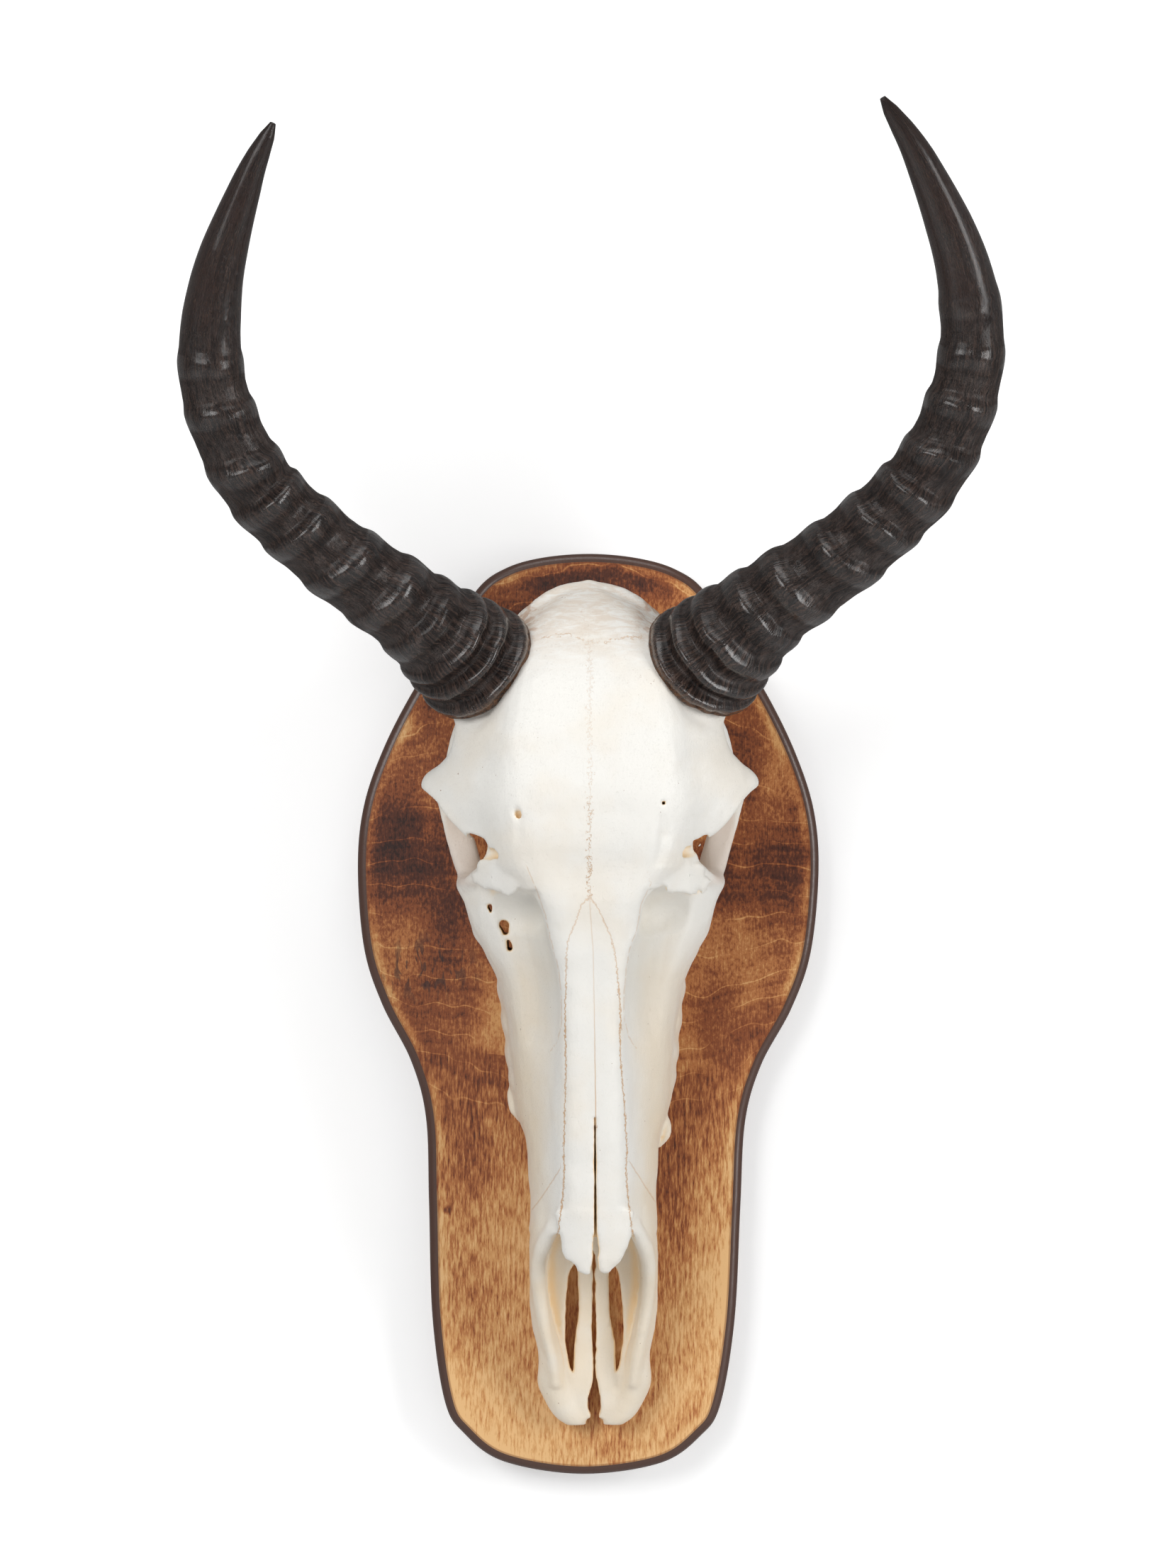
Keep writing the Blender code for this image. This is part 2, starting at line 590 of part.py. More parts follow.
def bone_hollows(parent, bone):
    """Eye sockets, nose, palate slots, tip notch and spinal hole, each set a separate cutter."""
    cutters = []
    bm = bmesh.new()
    add_ball(bm, EYE_SOCKET_CENTRE, EYE_SOCKET_RADII, segments=28, rows=18)
    add_ball(bm, SPINAL_HOLE_CENTRE, SPINAL_HOLE_RADII, mirror=False)
    add_box_loft(bm, NOSE_HOLLOW)
    cutters.append(finish_mesh(bm, "skull_hollows", bone, parent))
    bm = bmesh.new()
    add_ball(bm, FACE_PIT_CENTRE, FACE_PIT_RADII, segments=28, rows=18)
    cutters.append(finish_mesh(bm, "skull_face_pits", bone, parent))
    bm = bmesh.new()
    add_slot(bm, PALATE_SLOT, PALATE_SLOT_RADII, -4, 34)
    add_slot(bm, TIP_NOTCH, TIP_NOTCH_RADII, -4, 40, mirror=False)
    cutters.append(finish_mesh(bm, "skull_slots", bone, parent))
    return [make_cutter(c) for c in cutters]


def build_skull(parent, bone):
    skull = build_bone(parent, bone)
    for cutter in bone_hollows(parent, bone):
        cut(skull, cutter)
    again = skull.modifiers.new("even out", "REMESH")
    again.mode = "VOXEL"
    again.voxel_size = BONE_VOXEL * MM
    soften = skull.modifiers.new("soften", "SMOOTH")
    soften.iterations = BONE_SMOOTHING
    soften.factor = 0.5
    thin = skull.modifiers.new("fewer faces", "DECIMATE")
    thin.ratio = BONE_FACE_SHARE
    return skull


def build_horn(name, parent, horn, path, side, crests):
    bm = bmesh.new()
    add_rings(bm, horn_rings(path, side, crests, 0.0))
    return finish_mesh(bm, name, horn, parent, 60)


def seat_cutter(name, parent, horn, path, side, crests):
    bm = bmesh.new()
    add_rings(bm, horn_rings(path, side, crests, CLEARANCE))
    return make_cutter(finish_mesh(bm, name, horn, parent))


def tooth_rings(side, up, across, half_length, half_width, grow):
    """A crown with two outer lobes: root, neck, widest part and chewing face."""
    levels = [(TOOTH_ROOT + grow, 0.8), (TOOTH_NECK, 0.93), (TOOTH_WIDEST, 1.0), (TOOTH_FACE - grow, 0.86)]
    rings = []
    for out, share in levels:
        ring = []
        for k in range(TOOTH_SIDES):
            a = 2 * math.pi * k / TOOTH_SIDES
            c, s = math.cos(a), math.sin(a)
            along = math.copysign(abs(s) ** TOOTH_SQUARENESS, s) * (half_length * share + grow)
            lobe = 1.0 + TOOTH_LOBE * math.cos(4 * a) if c > 0 else 1.0
            sideways = math.copysign(abs(c) ** TOOTH_SQUARENESS, c) * (half_width * share + grow) * lobe
            ring.append(place(side * (across + sideways), out, up + along))
        rings.append(ring)
    return rings


def tooth_places():
    """(number, up, across, half length, half width) for each tooth of a row."""
    up = TOOTH_ROW_START
    for i, length in enumerate(TOOTH_LENGTHS):
        middle = up + length / 2
        yield i + 1, middle, value_at(TOOTH_ROW_ACROSS, middle), length / 2, TOOTH_HALF_WIDTHS[i]
        up += length + TOOTH_GAP


def build_teeth(parent, enamel, skull):
    sockets = bmesh.new()
    for side, word in ((-1, "left"), (1, "right")):
        for number, up, across, half_length, half_width in tooth_places():
            bm = bmesh.new()
            add_rings(bm, tooth_rings(side, up, across, half_length, half_width, 0.0))
            finish_mesh(bm, "cheek_tooth_%s_%d" % (word, number), enamel, parent, 40)
            add_rings(sockets, tooth_rings(side, up, across, half_length, half_width, SOCKET_CLEARANCE))
    cut(skull, make_cutter(finish_mesh(sockets, "tooth_sockets", enamel, parent)))


def main():
    clear_scene()
    bone = material("bone", BONE_COLOUR, 0.55)
    horn = material("horn", HORN_COLOUR, 0.35)
    wood = material("stained wood", WOOD_COLOUR, 0.38)
    enamel = material("tooth", TOOTH_COLOUR, 0.30)
    steel = material("steel", STEEL_COLOUR, 0.35, 1.0)

    frame = bpy.data.objects.new("skull_frame", None)
    frame.location = (SKULL_SHIFT * MM, -BOARD_THICKNESS * MM, 0)
    frame.rotation_euler = (0, -math.radians(SKULL_LEAN_DEG), 0)
    bpy.context.scene.collection.objects.link(frame)

    build_board(None, wood)
    skull = build_skull(frame, bone)
    for name, path, side, crests in (("horn_left", HORN_PATH_LEFT, -1, RINGS_LEFT),
                                     ("horn_right", HORN_PATH_RIGHT, 1, RINGS_RIGHT)):
        build_horn(name, frame, horn, path, side, crests)
        cut(skull, seat_cutter(name + "_seat", frame, horn, path, side, crests))
    build_teeth(frame, enamel, skull)
    pilot = bmesh.new()
    for name, (up, length) in SCREWS.items():
        build_screw(name, None, steel, up, length)
        add_turned(pilot, SKULL_SHIFT, up, [(SCREW_RADIUS + CLEARANCE, BOARD_THICKNESS - 1),
                                            (SCREW_RADIUS + CLEARANCE, SCREW_SUNK + length + 1)])
    cut(skull, make_cutter(finish_mesh(pilot, "screw_holes", steel, None)))


main()
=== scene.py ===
"""The looks of a mounted antelope skull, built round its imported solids.

The skull, horns and teeth are described in the skull's own frame, in millimetres:
across (from the midline, + is the viewer's right), out (from the board's front face)
and up. The board's back face lies on Y = 0 and +Z is up.
"""

import math

import bpy
import numpy as np
import openvdb
from mathutils import Matrix, Vector

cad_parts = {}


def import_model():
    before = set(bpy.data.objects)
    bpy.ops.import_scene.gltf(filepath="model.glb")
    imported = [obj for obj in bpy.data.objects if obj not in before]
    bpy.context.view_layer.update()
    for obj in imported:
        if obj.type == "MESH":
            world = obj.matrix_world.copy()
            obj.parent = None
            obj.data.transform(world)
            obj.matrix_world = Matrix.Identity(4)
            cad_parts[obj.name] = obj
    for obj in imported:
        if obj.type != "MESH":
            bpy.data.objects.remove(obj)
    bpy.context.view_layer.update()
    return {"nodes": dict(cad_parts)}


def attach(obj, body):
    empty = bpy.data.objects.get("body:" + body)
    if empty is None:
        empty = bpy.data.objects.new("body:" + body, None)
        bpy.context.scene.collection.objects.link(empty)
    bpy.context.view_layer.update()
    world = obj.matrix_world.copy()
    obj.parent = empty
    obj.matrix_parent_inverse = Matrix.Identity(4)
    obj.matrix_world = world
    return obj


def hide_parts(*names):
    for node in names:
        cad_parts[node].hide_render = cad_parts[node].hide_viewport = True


MM = 0.001

# Board, the same as the solid
BOARD_THICKNESS = 20.0
BOARD_EDGE_ROUND = 4.0
BOARD_OUTLINE = [
    (0, 210.7), (22, 208.8), (39, 203.8), (52, 194.2), (66, 171), (81.8, 146), (94.7, 120),
    (103.3, 94), (105.8, 66), (102.6, 29), (94, 3), (80.4, -23), (73.3, -49), (71.5, -88),
    (69.4, -140), (63.3, -179), (54.4, -193.6), (36, -206.4), (0, -211.8),
]
BOARD_STEPS = 14
BOARD_INSETS = [4.3, 5.2, 7.0, 10.0]
HANGING_HOLE = (0.0, 170.0, 4.5, 11.0)
SCREW_HOLES = {"screw_upper": 150.0, "screw_lower": -20.0}
SCREW_HEAD_RADIUS = 4.4
SCREW_HEAD_DEPTH = 3.0
SCREW_RADIUS = 2.2
SCREW_SUNK = 0.6
CLEARANCE = 0.4

SKULL_LEAN_DEG = 1.03
SKULL_SHIFT = 2.25

ROOF_CROWN = 1.5
STATIONS = [
    (-97, (11.3, 66), (19, 56), (25.5, 42), (28.3, 27), (23, 12)),
    (-84, (11.7, 69.5), (19.5, 58), (26, 43), (28.5, 28), (24, 11)),
    (-70, (12, 73), (19.5, 61), (27, 45), (29.2, 29), (25, 11)),
    (-55, (12, 77), (20, 63), (28, 46), (30.5, 28), (28, 11)),
    (-42, (12, 80), (20, 65), (30.5, 44), (34.5, 25), (32, 11)),
    (-20, (12, 85), (19.5, 69), (32.5, 50), (37.5, 24), (35, 11)),
    (0, (12, 90), (18.5, 73), (34, 56), (39.5, 27), (36.5, 11)),
    (17, (12.5, 94), (19.5, 77), (37, 61), (42.8, 33), (36.5, 11)),
    (30, (14.5, 98), (21.5, 80), (42, 66), (48.6, 40), (36.5, 12)),
    (41, (17, 101), (25, 83), (45.5, 69), (53, 46), (35, 14)),
    (52, (21, 105), (30, 87), (48.5, 71), (56.4, 49), (32, 18)),
    (62, (27, 107), (40, 87), (52, 70), (58.6, 48), (27, 24)),
    (70, (31, 109), (44, 93), (46, 76), (46, 56), (23, 28)),
    (85, (33, 112), (46, 95), (44, 78), (40, 60), (20, 31)),
    (105, (34, 113), (46, 96), (44, 80), (38, 62), (20, 31)),
    (125, (34, 111), (42, 88), (41, 74), (38, 62), (20, 29)),
    (145, (32, 107), (42, 82), (42, 70), (40, 58), (21, 27)),
    (160, (28, 98), (38, 78), (40, 66), (40, 55), (22, 25)),
    (171, (24, 88), (33, 72), (37, 62), (38, 52), (22, 24)),
    (181, (18, 77), (26, 65), (30.5, 56), (32, 48), (20, 24)),
    (188, (11, 66), (17.5, 58), (21.5, 51), (23, 45), (16, 22)),
    (194, (4, 55), (6.5, 51), (8.5, 46), (9, 42), (7, 28)),
]
BROW = [
    (66, (22, 99), (38, 89), (44, 82), (34, 76)),
    (76, (28, 109), (42, 96), (47, 88), (36, 80)),
    (84, (30, 112), (46, 98), (56, 87), (42, 78)),
    (92, (32, 113), (52, 97), (67, 82), (52, 74)),
    (98, (32, 114), (56, 95), (70.5, 78), (56, 70)),
    (105, (32, 114), (58, 93), (74.5, 74), (60, 66)),
    (111, (32, 113), (56, 93), (70.5, 76), (58, 68)),
    (119, (32, 112), (52, 95), (63.2, 80), (52, 70)),
    (130, (32, 110), (50, 96), (59.8, 84), (48, 72)),
    (142, (30, 104), (45, 91), (57, 80), (44, 72)),
    (158, (24, 91), (36, 80), (44, 71), (34, 64)),
]
# Bars and rims as (across, out, up, radius)
EYE_RIM = [
    (70.5, 72, 104, 3.2), (65, 81, 95.5, 3), (55, 87, 86, 2.6), (45.5, 90, 80, 2.2),
    (44, 88, 72, 2.2), (50, 78, 65, 2.8), (55, 65, 61.5, 3), (56, 52, 62, 3.2), (58, 44, 71, 3.2),
    (62, 41, 84, 3.2), (66, 46, 97, 3.2), (69.5, 58, 103.5, 3.2),
]
CHEEK_ARCH = [
    (46.5, 46, 40, 6), (52.5, 43, 60, 6), (57.5, 41, 78, 5.6), (61.5, 42, 96, 5.2),
    (60.5, 45, 114, 4.8), (55, 49, 132, 5.5), (44, 51, 148, 6.5), (33, 51, 158, 7),
]
BEHIND_EYE_BAR = [(68.5, 72, 106, 5), (68, 58, 106, 4.5), (63.5, 44, 105, 5)]
NAPE_CREST = [(29.5, 54, 176, 3), (22, 55, 185.5, 3), (12, 52, 191.5, 3), (0, 51, 193.5, 3)]
EAR_SPUR = [(28, 42, 168, 7), (29, 26, 168, 6), (27, 12, 166, 4), (25, 3.5, 165, 2.2)]
WING_PLATE = [(13, 32, 46, 4), (12, 24, 62, 3.6), (13, 20, 78, 3.4), (14, 26, 94, 4)]
# Round forms as their middle and radii
EYE_SOCKET = ((66, 65, 84), (38, 22, 20.5))
FACE_PIT = ((36.5, 88, 45), (16.5, 19, 15.5))
CONDYLE = ((12, 20, 185), (9.5, 11, 8))
EAR_BULB = ((21, 24, 152), (8, 12, 11))
SPINAL_HOLE = ((0, 36, 190), (9.5, 8.5, 30))
# Upright forms as (up, half width, lowest, highest); the walls have their place across as second
SNOUT_WALL = [
    (-84, 20.5, 6, 12, 50), (-99, 23, 5.6, 12, 48), (-109, 24.8, 4.4, 12, 41),
    (-120, 25, 4, 12, 35), (-132, 24.5, 4.5, 11, 30), (-144, 22.5, 5.2, 10, 26),
    (-156, 20, 5.3, 8, 22), (-168, 19.4, 6.4, 6, 18), (-177, 16.2, 6.6, 5, 15),
    (-184, 11.5, 6.4, 5, 13), (-188, 8, 4.4, 5.5, 11),
]
SNOUT_FLOOR = [
    (-78, 24, 11, 24), (-96, 24, 11.5, 21), (-115, 22, 12, 19), (-135, 20, 10, 16),
    (-152, 17, 8, 14), (-168, 19, 5, 14), (-178, 16, 4.5, 13), (-185, 9, 5, 11),
]
NOSE_ROOF = [(-78, 15, 59, 71.5), (-92, 14.5, 57, 68), (-99, 14, 55, 64)]
NOSE_HOLLOW = [
    (-178, 2, 12, 30), (-168, 10, 14.5, 40), (-150, 14, 17, 50), (-131, 19, 20, 54),
    (-115, 20, 22, 54), (-104, 18, 24, 54), (-85, 15.5, 26, 55), (-55, 15, 28, 60),
    (-20, 15, 30, 66),
]

# Lines of the face that differ from left to right, as (across, up)
NASAL_LEFT = [
    (-0.7, 55.2), (-4.2, 51.7), (-6.8, 43.8), (-10, 36.6), (-11, 30.6), (-11.4, 15.3), (-11.9, 0.1),
    (-11.7, -20.4), (-12.2, -35.7), (-13, -60), (-12.8, -67.4), (-13.5, -79.7), (-14.8, -88.1),
    (-15.5, -94.6), (-16.4, -98.4),
]
NASAL_RIGHT = [
    (-0.7, 55.2), (3, 50.4), (6.1, 43.4), (8.6, 37.4), (10.4, 30.4), (11.9, 17), (12.8, 2.7),
    (12.6, -15.4), (14.1, -35.9), (15.5, -59.3), (14.8, -67.7), (15.7, -79.9), (17.2, -94.2),
    (18.1, -98.7),
]
MID_SEAM = [
    (-0.2, 168), (0.6, 151), (-0.2, 132), (0.3, 113), (-0.2, 91), (-0.7, 55.2), (0.9, 30), (1.2, 0),
    (1.4, -30), (1.5, -48),
]
CROWN_SEAM = [
    (-23, 169.7), (-16, 171.6), (-7.4, 171.8), (-0.2, 168.2), (8, 168.2), (15.6, 170), (24, 170.3),
]
PIT_EDGE_LEFT = [
    (-28.7, 69.7), (-24.1, 58.6), (-20.4, 47.5), (-17, 32.2), (-14.6, 22.9), (-13.4, 10.8),
    (-13.5, -1.4), (-15.5, -10.6), (-19, -14.8),
]
PIT_EDGE_RIGHT = [
    (26.4, 60.1), (22.3, 51.3), (20.3, 39.8), (17.1, 31.9), (15.5, 22.7), (14.5, 12.5), (14.4, 0.3),
    (16.9, -9), (20, -14.1),
]
SNOUT_SEAM_LEFT = [(-14.4, -67), (-23.1, -81.3), (-28, -88)]
SNOUT_SEAM_RIGHT = [(16.5, -64.4), (27.6, -83.6), (30, -88)]
# Both nasal lines end in one point more at their apex, so above it they are exactly as far away
NOSE_APEX = (-0.7, 55.2)
SIDE_SEAMS = [
    ("nasal_seam", NASAL_LEFT + [NOSE_APEX], NASAL_RIGHT + [NOSE_APEX]),
    ("pit_seam", PIT_EDGE_LEFT, PIT_EDGE_RIGHT), ("snout_seam", SNOUT_SEAM_LEFT, SNOUT_SEAM_RIGHT),
]
# How far out the ridge beside each pit stands, by how far up, and how the pit's wall falls from it
PIT_RIDGE = [(-15, 83), (0, 88.6), (17, 92.8), (30, 96.6), (41, 99), (52, 102), (62, 104)]
PIT_WALL = [(0, -1), (1.5, 5), (4, 13), (7, 20), (11, 25.5), (16, 28), (23, 28.5), (34, 38)]
PIT_WALL_SLANT = 0.55
PIT_RIDGE_INSET = (1.2, 2.6)
PIT_RIDGE_START = [0.6, 1.6]
PIT_RIDGE_RADIUS = 2.2
PIT_REACH = 48
PIT_OUT = (30, 115)
PIT_TOP = 58
# Flakes of bone at the edge of the tooth row and the rim of the nose, as (across, out, up, radius)
FLAKE_LEFT = [
    (-35.2, 15, -31, 1.6), (-36.6, 14, -36, 2.2), (-35.6, 14, -43, 2.4), (-32.8, 13, -48, 1.3),
]
FLAKE_RIGHT = [
    (31.5, 16, -45, 1.6), (33.6, 15, -50, 2.3), (33.4, 15, -55, 2.5), (30.5, 14, -60, 1.5),
]
NOSE_RIM = [
    (18.6, 55, -95, 2.6), (20.8, 51, -99.5, 3.2), (23.4, 46, -105.5, 3.5), (24.8, 40.5, -112, 3.4),
    (25, 35.5, -120, 3.2), (24, 30.5, -131, 2.8), (22, 26.5, -144, 2.4), (19.4, 22.5, -156, 2.2),
    (17.4, 18, -168, 1.8),
]
# Bulges over the roots of the teeth, as (across, up)
ROOT_BULGES = [(32.6, -29), (34, -17), (35.6, -3), (37.2, 12), (42, 27)]
ROOT_BULGE_RADII = (4.6, 9, 5.6)
ROOT_BULGE_OUT = 20
# Outlines of the free tips of the nose bones and of the tear bones, as (across, up)
TIP_PLATE_LEFT = [
    (-16.2, -86), (-15.8, -94.9), (-14.6, -99.1), (-14, -103.9), (-13.1, -108), (-9.6, -110),
    (-7.7, -111.2), (-6.5, -114.1), (-3.9, -115.4), (-1.7, -115.1), (-0.6, -108), (-0.3, -100.8),
    (0.6, -86),
]
TIP_PLATE_RIGHT = [
    (17.6, -86), (17.5, -94.5), (16.3, -99.3), (15, -104.1), (13, -108.2), (9.5, -111.4),
    (7.2, -114.5), (5, -115.5), (2.9, -113.9), (2.3, -107), (2.2, -100.8), (1.8, -86),
]
TEAR_PLATE_LEFT = [
    (-52.3, 64.3), (-50, 70.3), (-41.1, 73.1), (-31.6, 71.8), (-28.8, 68.3), (-30.5, 61), (-36, 57),
    (-45.4, 58.9), (-51.4, 61.5),
]
TEAR_PLATE_RIGHT = [
    (30.6, 66.4), (34, 69.8), (41.5, 70.3), (47.2, 69.6), (51.3, 65.4), (52.8, 60.7), (49, 56.6),
    (41.4, 56.3), (33.8, 57.4),
]
# How far out the nose's top lies, by how far up, and the face beside the tear bones, by how far across
NOSE_TOP = [(-120, 60.8), (-108, 65), (-97, 68.3), (-86, 71.2), (-70, 74.6)]
NOSE_TOP_ROUND = 0.012
FACE_FRONT = [(26, 103), (34, 97), (44, 90), (53, 80)]
FACE_FRONT_SLOPE = 0.35
FACE_FRONT_UP = 64
# The dip above each tear bone as (across, up, radius), and how far it stands out
TEAR_DIP = [(29, 69, 1.4), (34, 73.5, 2.6), (41, 75, 2.6), (47, 74, 2)]
TEAR_DIP_OUT = 1.6
# Grooves and holes of the brow as (across, out, up, radius), each with its blending
BROW_HOLES = [
    ([(-33.2, 116, 94.8, 1.2), (-31.5, 112.4, 91.4, 1.5), (-30.8, 110.6, 88.6, 1)], 1.4),
    ([(-31.4, 115.8, 90, 0.6), (-32, 114.9, 84, 1.6), (-32.6, 113.6, 77, 0.9)], 2.5),
    ([(32.5, 118, 96.6, 0.95), (32.5, 106, 96, 0.9), (33, 98, 95, 0.8)], 0.5),
    ([(32.3, 114.6, 89.5, 0.9), (33.3, 112.8, 81.6, 2.6), (31, 110.6, 70, 2)], 2.5),
]
# Cuts square to the board as (across, up, half width)
NASAL_GAP = [
    (1.4, -44, 0.45), (1.2, -60, 0.45), (1.1, -80, 0.45), (0.9, -101, 0.45), (0.8, -120, 0.5),
]
PALATE_SLOT_LEFT = [
    (-8, -114, 0.8), (-9.3, -119, 2.1), (-9.6, -128, 2.7), (-10.2, -139, 2.9), (-11, -149, 2.1),
    (-10.4, -160, 0.9), (-10, -163.5, 0.3),
]
PALATE_SLOT_RIGHT = [
    (8, -114, 0.8), (9.1, -119, 2.1), (9.7, -128, 2.7), (10.4, -139, 2.9), (11.2, -149, 2.1),
    (10.6, -160, 0.9), (10.2, -163.5, 0.3),
]
PALATE_GAP = [
    (0.3, -108, 0.6), (0.2, -125, 0.7), (0, -140, 0.8), (0.1, -156, 0.6), (0.2, -167, 0.2),
]
TIP_NOTCH = [
    (0.2, -165, 0.2), (0.2, -170, 1.5), (-0.2, -175.5, 2.9), (0, -180, 2.9), (0.1, -183.5, 1.8),
    (0, -187, 0.7), (0, -194, 0.4),
]
EYE_GAP_LEFT = [(-54.5, 83.4, 0.5), (-50.5, 81, 1.6), (-47.6, 77.5, 2.3), (-48.4, 72.2, 1.2)]
EYE_GAP_RIGHT = [(47, 75, 1), (47.4, 78.6, 1.7), (51.6, 81.2, 0.9)]
CHEEK_HOLES = [
    [(-38.9, 42, 2.3), (-38.5, 38.8, 1.2)], [(-37.3, 35.4, 0.7), (-36.8, 31.6, 1.1)],
    [(-45.2, 50.2, 0.9), (-44.8, 47.9, 0.5)],
]
# Each cut with its lowest and highest place out, raggedness, seed and blending
SNOUT_CUTS = [
    (NASAL_GAP, 62, 90, 0, 3, 0.3), (PALATE_SLOT_LEFT, -6, 34, 0.15, 4, 1.4),
    (PALATE_SLOT_RIGHT, -6, 34, 0.15, 5, 1.4), (PALATE_GAP, -6, 40, 0.35, 6, 0.8),
    (TIP_NOTCH, -6, 40, 0.2, 7, 1.0),
]
CHEEK_CUTS = [(EYE_GAP_LEFT, -10, 110, 0.5, 10, 0.8), (EYE_GAP_RIGHT, -10, 110, 0.5, 11, 0.8)]
CHEEK_CUTS += [(hole, -10, 100, 0.6, 12, 0.6) for hole in CHEEK_HOLES]

HORN_PATH_LEFT = [
    (-50.1, 159.4), (-80.6, 183.8), (-117.9, 211.2), (-148.2, 242), (-164.1, 282),
    (-162.1, 324.2), (-147.9, 367.2), (-135.6, 393.2),
]
HORN_PATH_RIGHT = [
    (51.1, 159.5), (80, 183.5), (118.6, 210.6), (151.7, 244), (168, 286.7),
    (165.2, 328.8), (146.8, 374.6), (129.4, 402.3),
]
HORN_OUT_AT_SEAT = 80.0
HORN_OUT_CURVE = [139.0, -104.0, 53.0]
HORN_RADII = [
    (0.0, 27.2), (0.05, 25.0), (0.1, 21.6), (0.13, 20.3), (0.2, 19.0), (0.35, 17.4), (0.5, 15.9),
    (0.65, 14.0), (0.7, 13.2), (0.8, 10.6), (0.9, 7.2), (0.95, 5.2), (0.98, 3.6), (1.0, 1.6),
]
# Ring crests as shares of the horn's length, on its inner and on its outer side
RINGS_LEFT = [
    (0.012, 0.012), (0.044, 0.044), (0.072, 0.07), (0.116, 0.119), (0.17, 0.191), (0.245, 0.27),
    (0.332, 0.352), (0.404, 0.412), (0.455, 0.476), (0.55, 0.563), (0.63, 0.633),
]
RINGS_RIGHT = [
    (0.01, 0.01), (0.039, 0.034), (0.07, 0.072), (0.118, 0.123), (0.172, 0.187), (0.246, 0.274),
    (0.32, 0.343), (0.391, 0.404), (0.452, 0.473), (0.536, 0.541), (0.61, 0.613), (0.684, 0.684),
]
RING_HEIGHT = 1.35
RING_VALLEY = 0.6
RING_FRONT = 2.2
# How much of the gap to the next crest a ring's two sides take up, and the least and most of it
RING_RISE = 0.75
RING_FALL = 0.30
RING_REACH = (0.007, 0.042)
FIRST_RING_GAP = 0.03
LAST_RING_GAP = 0.08
RINGS_END = 0.72
GRAIN_RADIUS = 22.0
HORN_LEAST_RADIUS = 0.9
# The lip as (slide along the axis, growth of the radius)
HORN_LIP = [(-1.5, -6.0), (-2.6, -2.4), (-2.4, -0.6), (-1.2, 0.1)]
SEAT_AXIS = (0.567, 0.616, 0.544)
SEAT_BLEND = 0.14
# Bony core as (slide along the axis, radius)
HORN_CORE = [(-42, 15.5), (-24, 21.5), (-10, 24.1)]
HORN_SIDES = 144
HORN_STATIONS = 620

TOOTH_LENGTHS = [9.5, 10.5, 11.5, 14.5, 16.5, 16.5]
TOOTH_GAP = 0.7
TOOTH_ROW_START = -47
TOOTH_ROW_ACROSS = [(-47, 25.5), (-20, 29.5), (0, 31), (20, 30.5), (36, 28.5)]
TOOTH_HALF_WIDTHS = [4.6, 5.2, 5.8, 6.6, 6.8, 6.4]
TOOTH_ROOT = 15
TOOTH_SIDES = 96
TOOTH_SQUARENESS = 0.66
# Root, neck, crown, rounded edge and chewing face as (how far out, share of the width)
TOOTH_LEVELS = [
    (TOOTH_ROOT, 0.72), (12.5, 0.84), (10, 0.93), (7, 0.97), (4, 1.0), (2.2, 0.99), (1.1, 0.95),
    (0.62, 0.9), (0.5, 0.84), (0.75, 0.76), (1.05, 0.66), (0.85, 0.56), (0.6, 0.5), (0.9, 0.42),
    (1.5, 0.3), (1.7, 0.12),
]
TOOTH_LEAST_OUT = 0.45

# Grid on which the bone is grown
STEP = 1.0
GRID_LOW = np.array([-84.0, -3.0, -192.0])
GRID_COUNT = (169, 128, 392)
BAND = 8.0
BONE_TRIANGLES = 192000
# Wear of the bone as (height, size, seed, octaves), and how far off its shelter is measured
BONE_WEAR = [(0.30, 11.0, 40, 3), (0.10, 3.2, 41, 2)]
SHELTER_REACH = (4, 8)

SKULL_TO_ROW = (Matrix.Translation((SKULL_SHIFT * MM, -BOARD_THICKNESS * MM, 0))
                @ Matrix.Rotation(-math.radians(SKULL_LEAN_DEG), 4, "Y"))


# Lines and small numbers

def between(four, t):
    """A point of the Catmull-Rom span between the second and third of four points."""
    p0, p1, p2, p3 = four
    bend = (2 * p0 - 5 * p1 + 4 * p2 - p3) * t * t + (3 * p1 - p0 - 3 * p2 + p3) * t ** 3
    return 0.5 * (2 * p1 + (p2 - p0) * t + bend)


def smooth_through(points, steps):
    """A Catmull-Rom line through the points, with the given number of steps in each span."""
    pts = [np.array(p, float) for p in points]
    ends = [2 * pts[0] - pts[1]] + pts + [2 * pts[-1] - pts[-2]]
    line = [between(ends[i:i + 4], k / steps) for i in range(len(pts) - 1) for k in range(steps)]
    return np.array(line + [pts[-1]])


def smooth_loop(points, count):
    n = len(points)
    loop = []
    for k in range(count):
        i, t = divmod(k * n / count, 1.0)
        loop.append(between([points[(int(i) + j) % n] for j in (-1, 0, 1, 2)], t))
    return np.array(loop)


def value_at(table, x):
    xs, ys = zip(*table)
    return np.interp(x, xs, ys)


def ease(x, low, high):
    t = np.clip((x - low) / (high - low), 0.0, 1.0)
    return t * t * (3 - 2 * t)


def mirrored(points):
    return [(-p[0],) + tuple(p[1:]) for p in points]


def lattice(ix, iy, iz, seed):
    """A repeatable number from 0 to 1 for each point of a whole-number lattice."""
    h = (ix * 374761393 + iy * 668265263 + iz * 2147483647 + seed * 974634777) & 0xFFFFFFFF
    h = ((h ^ (h >> 13)) * 1274126177) & 0xFFFFFFFF
    h = h ^ (h >> 16)
    return (h & 0xFFFF) / 65535.0


def corners_of(base, f):
    """The eight whole-number points round each point, with their shares."""
    for corner in range(8):
        o = np.array([corner & 1, corner >> 1 & 1, corner >> 2 & 1])
        yield base + o, np.prod(np.where(o == 1, f, 1 - f), axis=1)


